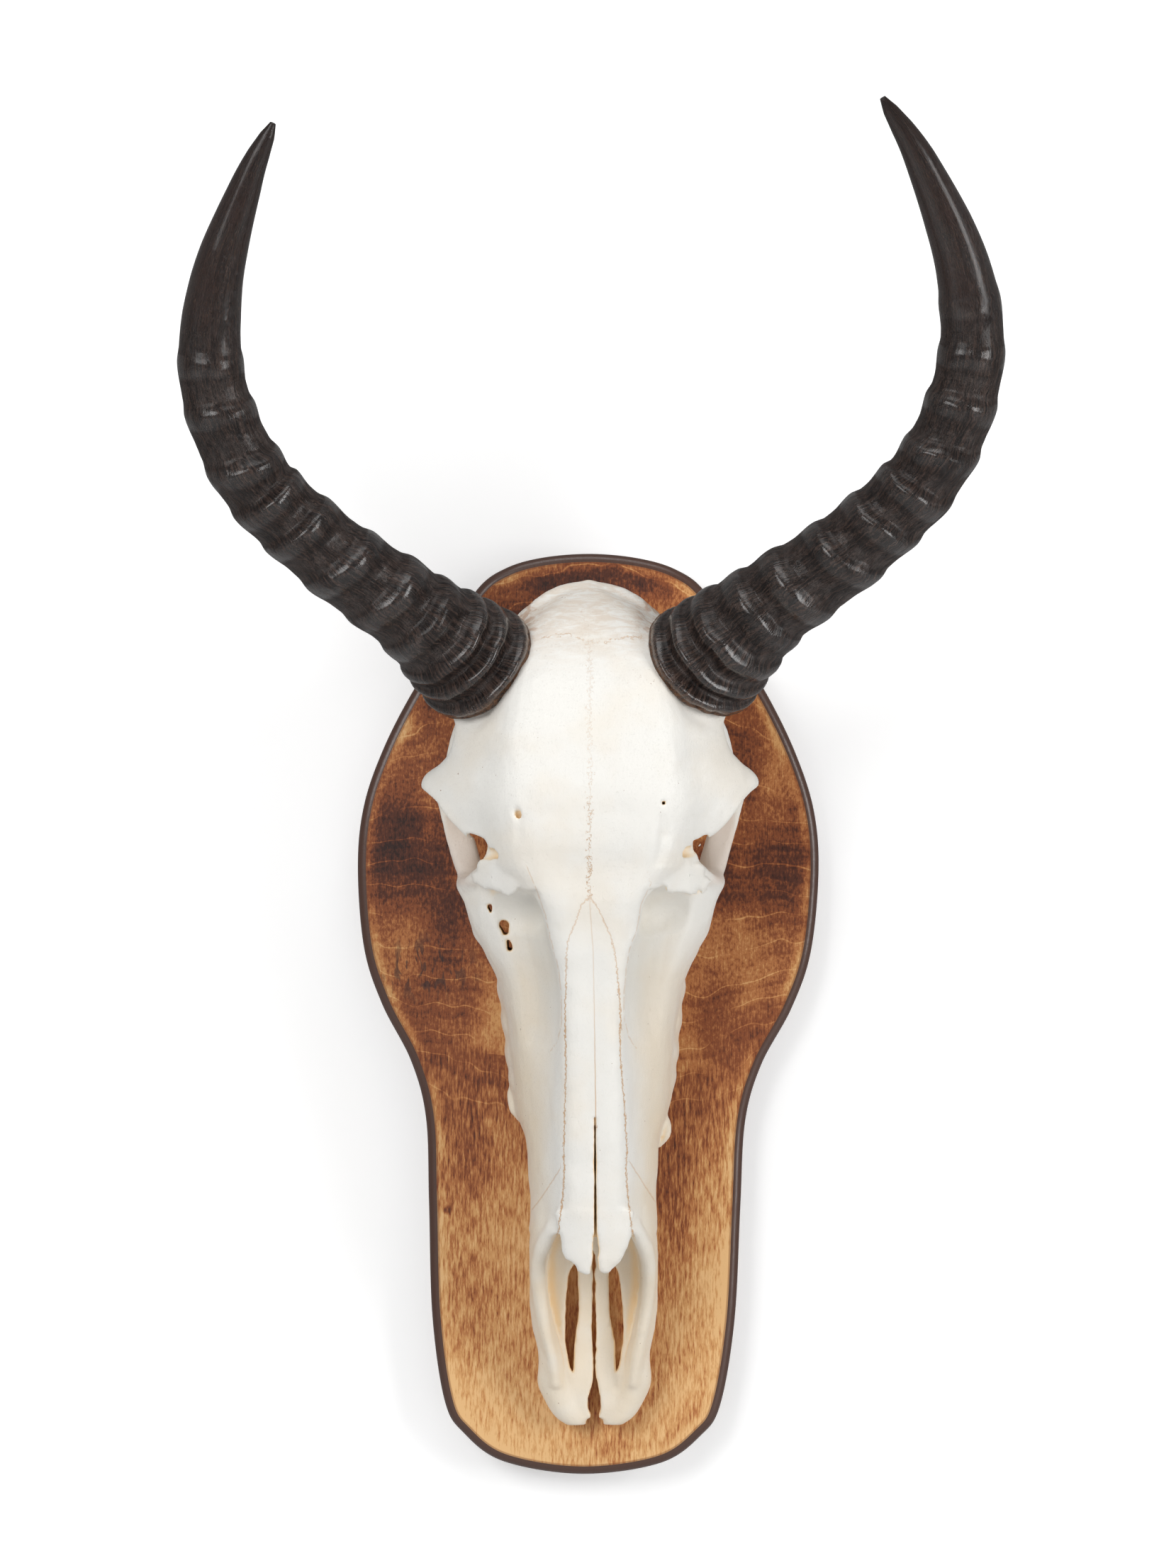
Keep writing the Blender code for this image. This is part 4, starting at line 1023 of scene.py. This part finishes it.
# Patches of the stain as (across, up), radii, and how much lighter or darker; and its shades
LIGHT_PATCHES = [
    ((-92, 128), (22, 30), 0.20), ((86, 120), (20, 40), 0.22), ((-84, 18), (14, 22), 0.12),
    ((62, -110), (18, 60), 0.14), ((-30, -190), (50, 30), 0.12), ((-40, 196), (18, 12), 0.10),
]
DARK_PATCHES = [
    ((-82, 76), (34, 28), -0.34), ((-58, 44), (26, 22), -0.18), ((78, 64), (40, 26), -0.20),
    ((62, 112), (22, 26), -0.10), ((66, -4), (36, 30), -0.12), ((40, -88), (14, 52), -0.16),
    ((-50, -70), (10, 42), -0.10), ((6, 198), (46, 14), -0.22), ((-63, -91), (3, 3), -0.4),
]
CURL_PLACE = ((-74, 20), (32, 20))
STAIN_SHADES = [
    (0.0, (46, 23, 17)), (0.98, (236, 190, 132)), (0.22, (86, 42, 24)), (0.42, (140, 75, 38)),
    (0.60, (186, 118, 66)), (0.78, (216, 160, 100)),
]

# The node tree of the material that is being made
making = {}


class Value:
    """A socket of the material that is being made, with arithmetic."""

    def __init__(self, socket):
        self.socket = socket

    def __add__(self, other):
        return calc("ADD", self, other)

    def __radd__(self, other):
        return calc("ADD", other, self)

    def __sub__(self, other):
        return calc("SUBTRACT", self, other)

    def __rsub__(self, other):
        return calc("SUBTRACT", other, self)

    def __mul__(self, other):
        return calc("MULTIPLY", self, other)

    def __truediv__(self, other):
        return calc("DIVIDE", self, other)

    def __abs__(self):
        return calc("ABSOLUTE", self)


def put(socket, value):
    """Links a value to an input, or writes a plain number or colour there."""
    if isinstance(value, Value):
        making["tree"].links.new(value.socket, socket)
    else:
        socket.default_value = value


def node(kind, inputs=None, output=0, **settings):
    made = making["tree"].nodes.new(kind)
    for key, value in settings.items():
        setattr(made, key, value)
    for key, value in (inputs or {}).items():
        put(made.inputs[key], value)
    return Value(made.outputs[output])


def calc(operation, a, b=0.0):
    return node("ShaderNodeMath", {0: a, 1: b}, operation=operation)


def spread(value, low, high, to_low=0.0, to_high=1.0):
    """A value eased from one range to another."""
    inputs = {"Value": value, "From Min": low, "From Max": high, "To Min": to_low, "To Max": to_high}
    return node("ShaderNodeMapRange", inputs, interpolation_type="SMOOTHSTEP")


def blend(share, a, b):
    return node("ShaderNodeMix", {0: share, 6: a, 7: b}, 2, data_type="RGBA")


def noise(vector, scale, detail=2.0, rough=0.5, distortion=0.0):
    return node("ShaderNodeTexNoise", {"Vector": vector, "Scale": scale, "Detail": detail,
                                       "Roughness": rough, "Distortion": distortion}, "Fac")


def patchy(vector, scale, detail, low, high, *to):
    """Noise that is eased from one range to another."""
    return spread(noise(vector, scale, detail), low, high, *to)


def stored(name):
    return node("ShaderNodeAttribute", output="Fac", attribute_name=name)


def vector_of(x, y, z):
    return node("ShaderNodeCombineXYZ", {0: x, 1: y, 2: z})


def stretched(vector, scale):
    return node("ShaderNodeVectorMath", {0: vector, 1: scale}, operation="MULTIPLY")


def object_place():
    """The place on the piece, in millimetres."""
    return stretched(node("ShaderNodeTexCoord", output="Object"), (1000.0, 1000.0, 1000.0))


def colour(r, g, b):
    """A display colour from 0 to 255 as a shader colour."""
    return tuple((c / 255 / 12.92 if c / 255 <= 0.04045 else ((c / 255 + 0.055) / 1.055) ** 2.4)
                 for c in (r, g, b)) + (1.0,)


def new_material(name):
    mat = bpy.data.materials.new(name)
    mat.use_nodes = True
    making["tree"] = mat.node_tree
    return mat, mat.node_tree.nodes["Principled BSDF"]


def set_surface(shader, base, rough, relief):
    for name, value in (("Base Color", base), ("Roughness", rough), ("Normal", relief)):
        put(shader.inputs[name], value)


def bump(height, distance, strength, before=None):
    inputs = {"Height": height, "Distance": distance, "Strength": strength}
    if before is not None:
        inputs["Normal"] = before
    return node("ShaderNodeBump", inputs)


def within(value, low, high, soft):
    """1 where a value lies in a range, eased to 0 past its ends."""
    return spread(value, low - soft, low) * spread(value, high + soft, high)


def seam_line(place, name, width, wander, size, soft=0.35, gaps=0.0):
    """A thin ragged line where a stored distance is near zero."""
    shift = (noise(place, 1 / size, 3.0, 0.6) - 0.5) * (2 * wander)
    line = spread(abs(stored(name) + shift), width, width + soft, 1.0, 0.0)
    if gaps:
        line = line * patchy(place, 0.35, 2.0, gaps - 0.08, gaps + 0.08)
    return line


def blob(x, y, middle, radii):
    """1 in the middle of a soft oval, 0 outside it."""
    away = vector_of((x - middle[0]) / radii[0], (y - middle[1]) / radii[1], 0.0)
    return spread(node("ShaderNodeVectorMath", {0: away}, "Value", operation="LENGTH"), 1.0, 0.25)


def bone_material():
    mat, shader = new_material("bleached bone")
    across, out, up = (stored(n) for n in ("across", "out", "up"))
    place = vector_of(across, out, up)
    width = abs(across)
    brown = colour(146, 106, 76)
    base = blend(patchy(place, 0.03, 3.0, 0.4, 0.7), colour(247, 245, 239), colour(246, 240, 229))
    # The sides of the muzzle are creamier. Hollows get a creamier, slightly darker tone by how sheltered they
    # are: partly the bone's own cream, partly painted shade.
    side = (spread(out - up * 0.2, 84, 60) * spread(up, 60, -20)
            * patchy(place, 0.05, 2.0, 0.2, 0.6, 0.6, 1.0))
    base = blend(side * 0.48, base, colour(238, 212, 170))
    base = blend(spread(stored("shelter"), 0.30, 0.9) * 0.75, base, colour(255, 224, 174))
    # The eye sockets turn darker and pinker towards their depth: painted shade
    socket = within(up, 62, 90, 4) * within(width, 45, 64, 3) * spread(out, 82, 66)
    base = blend(socket * 0.55, base, colour(231, 208, 190))
    # Behind the horns the crown is beige, with faint streaks towards the middle of the nape
    streaks = noise(stretched(place, (0.35, 1.0, 1.0)), 0.35, 4.0, 0.6, 0.6)
    crown = spread(up, 150, 182) * spread(streaks, 0.30, 0.62)
    base = blend(crown * 0.75, base, colour(230, 215, 198))
    rust = spread(up, 166, 176) * spread(width, 18, 27) * patchy(place, 0.16, 4.0, 0.46, 0.6)
    base = blend(rust * 0.6, base, colour(190, 142, 104))
    # Brown specks at the horns, and a few dots everywhere
    specks = spread(noise(place, 0.85, 3.0, 0.6), 0.64, 0.72)
    by_horn = spread(up, 112, 150) * spread(width, 8, 26) * patchy(place, 0.07, 2.0, 0.42, 0.6)
    base = blend(specks * by_horn * 0.5, base, brown)
    base = blend(patchy(place, 0.5, 1.0, 0.795, 0.82) * 0.6, base, brown)
    # Seams are thin ochre lines, and the lower nose is cracked along its middle
    roof = spread(out, 52, 60)
    low = spread(up, 50, 58, 1.0, 0.0)
    nasal = seam_line(place, "nasal_seam", 0.0, 1.3, 1.6, 0.55) * within(up, -99, 55.2, 1) * roof
    middle_low = (seam_line(place, "mid_seam", 0.05, 0.15, 4.0) * low
                  * spread(up, 20, -44, 0.35, 0.8) * spread(up, -100, -96))
    crack = spread(abs(stored("mid_seam")), spread(up, -44, -98, 0.5, 1.0), 1.2, 1.0, 0.0)
    crack = crack * within(up, -98, -50, 3)
    middle_high = (seam_line(place, "mid_seam", 0.0, 5.5, 1.5, 0.6, 0.38)
                   * (1.0 - low) * spread(up, 84, 112, 1.0, 0.35))
    crown_seam = (seam_line(place, "crown_seam", 0.05, 3.0, 2.0, 0.45, 0.45)
                  * spread(width, 27, 22) * spread(out, 70, 78) * 0.6)
    pit = seam_line(place, "pit_seam", 0.05, 0.5, 3.5, 0.4, 0.42) * within(up, -16, 68, 2) * roof * 0.35
    snout = (seam_line(place, "snout_seam", 0.05, 0.4, 3.0, 0.4) * within(up, -89, -64, 1)
             * spread(out, 30, 40) * 0.45)
    lines = nasal * spread(up, 35, 0, 0.55, 1.0)
    for other in (middle_low, middle_high, crown_seam, pit, snout, crack * 1.1):
        lines = calc("MAXIMUM", lines, other)
    # The walls of the pits in front of the eyes are painted greyer: painted shade
    beyond = stored("pit_seam") * -1.0
    hollow = (spread(beyond, -0.5, 1.5) * spread(beyond, 20, 5) * spread(up, -14, 22)
              * spread(up, 58, 50))
    base = blend(hollow * 0.3, base, colour(204, 200, 188))
    base = blend(lines * 0.8, base, colour(206, 152, 88))
    base = blend(crack * 0.8, base, colour(150, 88, 42))
    shader.inputs["Specular IOR Level"].default_value = 0.35
    relief = bump(spread(noise(place, 1.6, 3.0, 0.6), 0.30, 0.42), 0.00012, 0.6)
    grain = noise(stretched(place, (1.0, 1.0, 0.25)), 0.9, 4.0, 0.6)
    relief = bump(grain, 0.00022, 0.5, relief)
    relief = bump(1.0 - lines, 0.0002, 0.6, relief)
    set_surface(shader, base, patchy(place, 0.5, 3.0, 0.3, 0.7, 0.40, 0.60), relief)
    return mat


def horn_material():
    mat, shader = new_material("dark keratin")
    gx, gy, along, swell, share = (stored(n) for n in ("grain_x", "grain_y", "along", "swell", "share"))
    place = vector_of(gx, gy, along)
    # Fine cords run lengthwise and waver
    waver = (noise(place, 0.14, 2.0) - 0.5) * 5.0
    wavy = stretched(vector_of(gx + waver, gy + waver, along), (1.0, 1.0, 0.05))
    fibres = noise(wavy, 1.0, 3.0, 0.7)
    fine = noise(wavy, 3.2, 2.0, 0.6)
    growth = noise(stretched(place, (0.15, 0.15, 1.0)), 0.9, 3.0, 0.6, 0.5)
    polished = spread(share, 0.56, 0.74)
    base = blend(spread(fibres, 0.42, 0.64), colour(27, 19, 17), colour(80, 62, 54))
    base = blend(polished * 0.6, base, colour(26, 15, 13))
    streaks = spread(fine, 0.60, 0.72) * spread(share, 0.5, 0.7, 0.3, 0.8)
    base = blend(streaks, base, colour(118, 92, 74))
    base = blend(polished * patchy(place, 0.05, 3.0, 0.35, 0.65) * 0.55, base, colour(48, 27, 20))
    dust = spread(swell, 0.45, 0.0) * patchy(place, 0.16, 4.0, 0.4, 0.65) * (1.0 - polished) * 0.5
    base = blend(dust, base, colour(92, 82, 78))
    crust = spread(along, 4.5, -1.0) * spread(noise(place, 0.7, 4.0, 0.7), 0.36, 0.56)
    base = blend(crust * 0.75, base, colour(134, 92, 60))
    # Crests and tips are worn to a gloss
    worn = spread(swell, 0.3, 0.8) * patchy(place, 0.05, 2.0, 0.30, 0.55)
    rough = spread(calc("MAXIMUM", polished, worn), 0.0, 1.0, 0.46, 0.22) + (fibres - 0.5) * 0.25
    coat = spread(calc("MAXIMUM", worn, polished * 0.4), 0.0, 1.0, 0.2, 0.9)
    put(shader.inputs["Coat Weight"], coat)
    shader.inputs["Coat Roughness"].default_value = 0.10
    shader.inputs["Specular IOR Level"].default_value = 0.3
    depth = spread(share, 0.55, 0.75, 1.0, 0.25)
    cords = fibres * depth
    relief = bump(cords, 0.0030, 1.0)
    relief = bump(fine * depth, 0.0010, 0.8, relief)
    relief = bump(growth * (1.0 - polished), 0.0010, 0.6, relief)
    put(shader.inputs["Coat Normal"], bump(cords, 0.0005, 0.3))
    set_surface(shader, base, rough, relief)
    return mat


def wood_material():
    mat, shader = new_material("stained board")
    x, y, z = (Value(part) for part in node("ShaderNodeSeparateXYZ", {0: object_place()}).socket.node.outputs)
    rim = stored("inset")
    flat = vector_of(x, 0.0, z)
    # Short dark flecks: round where the grain rises to the face, upright lower down
    upright = spread(z + noise(flat, 0.03, 2.0) * 60.0, 60, -30)
    dots = noise(stretched(flat, (1.0, 1.0, 0.6)), 0.75, 3.0, 0.7)
    dashes = noise(stretched(flat, (1.0, 1.0, 0.15)), 0.85, 3.0, 0.7)
    fleck = node("ShaderNodeMix", {0: upright, 2: dots, 3: dashes})
    hairs = noise(stretched(flat, (1.0, 1.0, 0.05)), 2.2, 2.0, 0.6)
    # How light the stain is, from 0 to 1
    patch = noise(stretched(flat, (1.0, 1.0, 0.7)), 0.022, 3.0, 0.6, 0.5)
    tone = 0.43 + (patch - 0.5) * 0.9 + spread(z, -20, -110) * 0.36
    cloudy = spread(noise(flat, 0.05, 3.0, 0.6), 0.25, 0.65, 0.5, 1.0)
    for middle, radii, amount in LIGHT_PATCHES + DARK_PATCHES:
        tone = tone + blob(x, z, middle, radii) * cloudy * amount
    tone = tone + spread(rim, 10.0, 4.6) * patchy(flat, 0.03, 3.0, 0.35, 0.6) * 0.28
    # Growth rings: bowed up at the top of the board and down lower on
    bow = (1.0 - z / 60.0) * (x * x) * 0.0021
    rings = z - bow + noise(flat, 0.03, 2.0) * 26.0
    wave = calc("FRACT", rings / 15.0)
    thin = spread(abs(wave - 0.5), 0.0, 0.035, 1.0, 0.0)
    upper = spread(z, -80, -20) * patchy(flat, 0.04, 2.0, 0.35, 0.6)
    tone = tone + thin * upper * 0.22
    tone = tone - spread(wave, 0.5, 0.1) * spread(wave, 0.0, 0.1) * upper * 0.10
    tone = tone + (fleck - 0.5) * spread(upright, 0.0, 1.0, 0.85, 1.5)
    tone = tone + (hairs - 0.5) * 0.35
    stain = node("ShaderNodeValToRGB", {0: tone})
    ramp = stain.socket.node.color_ramp
    ramp.interpolation = "EASE"
    for k, (at, shade) in enumerate(STAIN_SHADES):
        stop = ramp.elements[k] if k < 2 else ramp.elements.new(at)
        stop.position = at
        stop.color = colour(*shade)
    # Dark curly marks below the left cheek
    curls = noise(stretched(flat, (1.0, 1.0, 0.35)), 0.28, 2.0, 0.5, 0.8)
    marks = blob(x, z, *CURL_PLACE) * spread(curls, 0.53, 0.60)
    base = blend(marks * 0.75, stain, colour(52, 38, 36))
    # The rounded edge is dark, but for the back. A warm line where it starts is a painted highlight along the
    # edge's crest.
    rim_dark = spread(rim, 4.05, 3.7) * (1.0 - spread(y, -0.6, -0.1))
    base = blend(rim_dark, base, colour(78, 50, 38))
    glow = spread(rim, 3.85, 4.05) * spread(rim, 4.9, 4.2)
    base = blend(glow * 0.6, base, colour(128, 66, 28))
    put(shader.inputs["Coat Weight"], spread(rim_dark, 0.0, 1.0, 0.05, 0.4))
    shader.inputs["Coat Roughness"].default_value = 0.2
    set_surface(shader, base, spread(fleck, 0.3, 0.7, 0.36, 0.52), bump(fleck, 0.0002, 0.5))
    return mat


def tooth_material():
    mat, shader = new_material("tooth enamel")
    place = object_place()
    worn = stored("worn")
    base = blend(patchy(place, 0.3, 3.0, 0.4, 0.7), colour(232, 222, 200), colour(214, 190, 150))
    base = blend(spread(worn, 0.74, 0.6) * spread(worn, 0.0, 0.05), base, colour(120, 84, 52))
    stain = patchy(stretched(place, (1.0, 0.3, 1.0)), 0.9, 4.0, 0.55, 0.75)
    base = blend(stain * 0.5, base, colour(110, 78, 50))
    relief = bump(noise(stretched(place, (1.0, 0.15, 1.0)), 1.6, 3.0), 0.0002, 0.6)
    set_surface(shader, base, patchy(place, 1.0, 2.0, 0.3, 0.7, 0.2, 0.4), relief)
    return mat


def steel_material():
    mat, shader = new_material("screw steel")
    scuffs = noise(object_place(), 1.5, 4.0, 0.6)
    base = blend(spread(scuffs, 0.4, 0.7), colour(198, 194, 186), colour(150, 138, 120))
    shader.inputs["Metallic"].default_value = 1.0
    set_surface(shader, base, spread(scuffs, 0.3, 0.7, 0.25, 0.5), bump(scuffs, 0.00008, 0.5))
    return mat


# Stage, light and camera

FLOOR_UP = -0.62
WALL_BEHIND = 0.0008
STAGE_SIZE = 9.0
WORLD_LIGHT = 0.24
# Name, place, width, height and power of each light
LIGHTS = [
    ("softbox left", (-1.3, -2.1, 0.95), 1.3, 1.2, 27.5),
    ("softbox right", (1.8, -1.35, 0.3), 0.7, 1.2, 20.5),
    ("softbox top", (0.0, -0.9, 2.0), 1.6, 0.9, 12),
]
LIGHT_AIM = (0, -0.05, 0.08)
CAMERA_PLACE = (-0.0005, -3.220, 0.105)
CAMERA_ROLL_DEG = 0.6
CAMERA_LENS = 160.2


def add_plane(name, matrix, mat):
    half = STAGE_SIZE / 2
    corners = [(-half, -half, 0), (half, -half, 0), (half, half, 0), (-half, half, 0)]
    mesh = bpy.data.meshes.new(name)
    mesh.from_pydata([matrix @ Vector(c) for c in corners], [], [(0, 1, 2, 3)])
    mesh.materials.append(mat)
    obj = bpy.data.objects.new(name, mesh)
    bpy.context.scene.collection.objects.link(obj)
    return obj


def stage_material(name, tint, glow, one_sided=False):
    mat, shader = new_material(name)
    shader.inputs["Base Color"].default_value = tint
    shader.inputs["Roughness"].default_value = 0.9
    shader.inputs["Specular IOR Level"].default_value = 0.0
    shader.inputs["Emission Color"].default_value = (1, 1, 1, 1)
    shader.inputs["Emission Strength"].default_value = glow
    if one_sided:
        see_through = node("ShaderNodeBsdfTransparent")
        back = node("ShaderNodeNewGeometry", output="Backfacing")
        mix = node("ShaderNodeMixShader", {0: back, 1: Value(shader.outputs[0]), 2: see_through})
        put(mat.node_tree.nodes["Material Output"].inputs["Surface"], mix)
    return mat


def build_stage():
    add_plane("floor", Matrix.Translation((0, -1.5, FLOOR_UP)),
              stage_material("pale floor", (0.82, 0.82, 0.82, 1), 0.0))
    wall_turn = Matrix.Translation((0, WALL_BEHIND, 1.0)) @ Matrix.Rotation(math.radians(90), 4, "X")
    wall = add_plane("backdrop", wall_turn, stage_material("pale wall", (0.9, 0.9, 0.9, 1), 0.30, True))
    wall.visible_shadow = False
    wall.visible_diffuse = False
    wall.visible_glossy = False
    wall.visible_transmission = False


def add_light(name, place, width, height, power):
    data = bpy.data.lights.new(name, "AREA")
    data.shape = "RECTANGLE"
    data.size = width
    data.size_y = height
    data.energy = power
    lamp = bpy.data.objects.new(name, data)
    bpy.context.scene.collection.objects.link(lamp)
    lamp.location = place
    lamp.rotation_euler = (Vector(LIGHT_AIM) - Vector(place)).to_track_quat("-Z", "Y").to_euler()


def build_lights():
    world = bpy.data.worlds.new("studio")
    bpy.context.scene.world = world
    world.use_nodes = True
    world.node_tree.nodes["Background"].inputs["Color"].default_value = (1, 1, 1, 1)
    world.node_tree.nodes["Background"].inputs["Strength"].default_value = WORLD_LIGHT
    for light in LIGHTS:
        add_light(*light)


def build_camera():
    data = bpy.data.cameras.new("camera")
    data.sensor_fit = "VERTICAL"
    data.sensor_height = 36.0
    data.lens = CAMERA_LENS
    camera = bpy.data.objects.new("camera", data)
    camera.location = CAMERA_PLACE
    camera.rotation_euler = (math.pi / 2, -math.radians(CAMERA_ROLL_DEG), 0)
    bpy.context.scene.collection.objects.link(camera)
    bpy.context.scene.camera = camera


def dress(piece, mat, slot_name, *nodes):
    piece.data.materials.clear()
    piece.data.materials.append(mat)
    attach(piece, "root")
    if nodes:
        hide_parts(*nodes)


def main():
    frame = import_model()
    dress(build_board(), wood_material(), "stained_wood", "plaque")
    dress(build_skull(), bone_material(), "bone", "skull")
    keratin = horn_material()
    dress(build_horn("left_horn", HORN_PATH_LEFT, -1, RINGS_LEFT, 100), keratin, "horn", "horn_left")
    dress(build_horn("right_horn", HORN_PATH_RIGHT, 1, RINGS_RIGHT, 200), keratin, "horn", "horn_right")
    enamel = tooth_material()
    for tooth, node_name in build_teeth():
        dress(tooth, enamel, "tooth", node_name)
    steel = steel_material()
    for name in SCREW_HOLES:
        for material_slot in frame["nodes"][name].material_slots:
            material_slot.material = steel
    build_stage()
    build_lights()
    build_camera()
    bpy.context.scene.view_settings.view_transform = "Standard"


main()
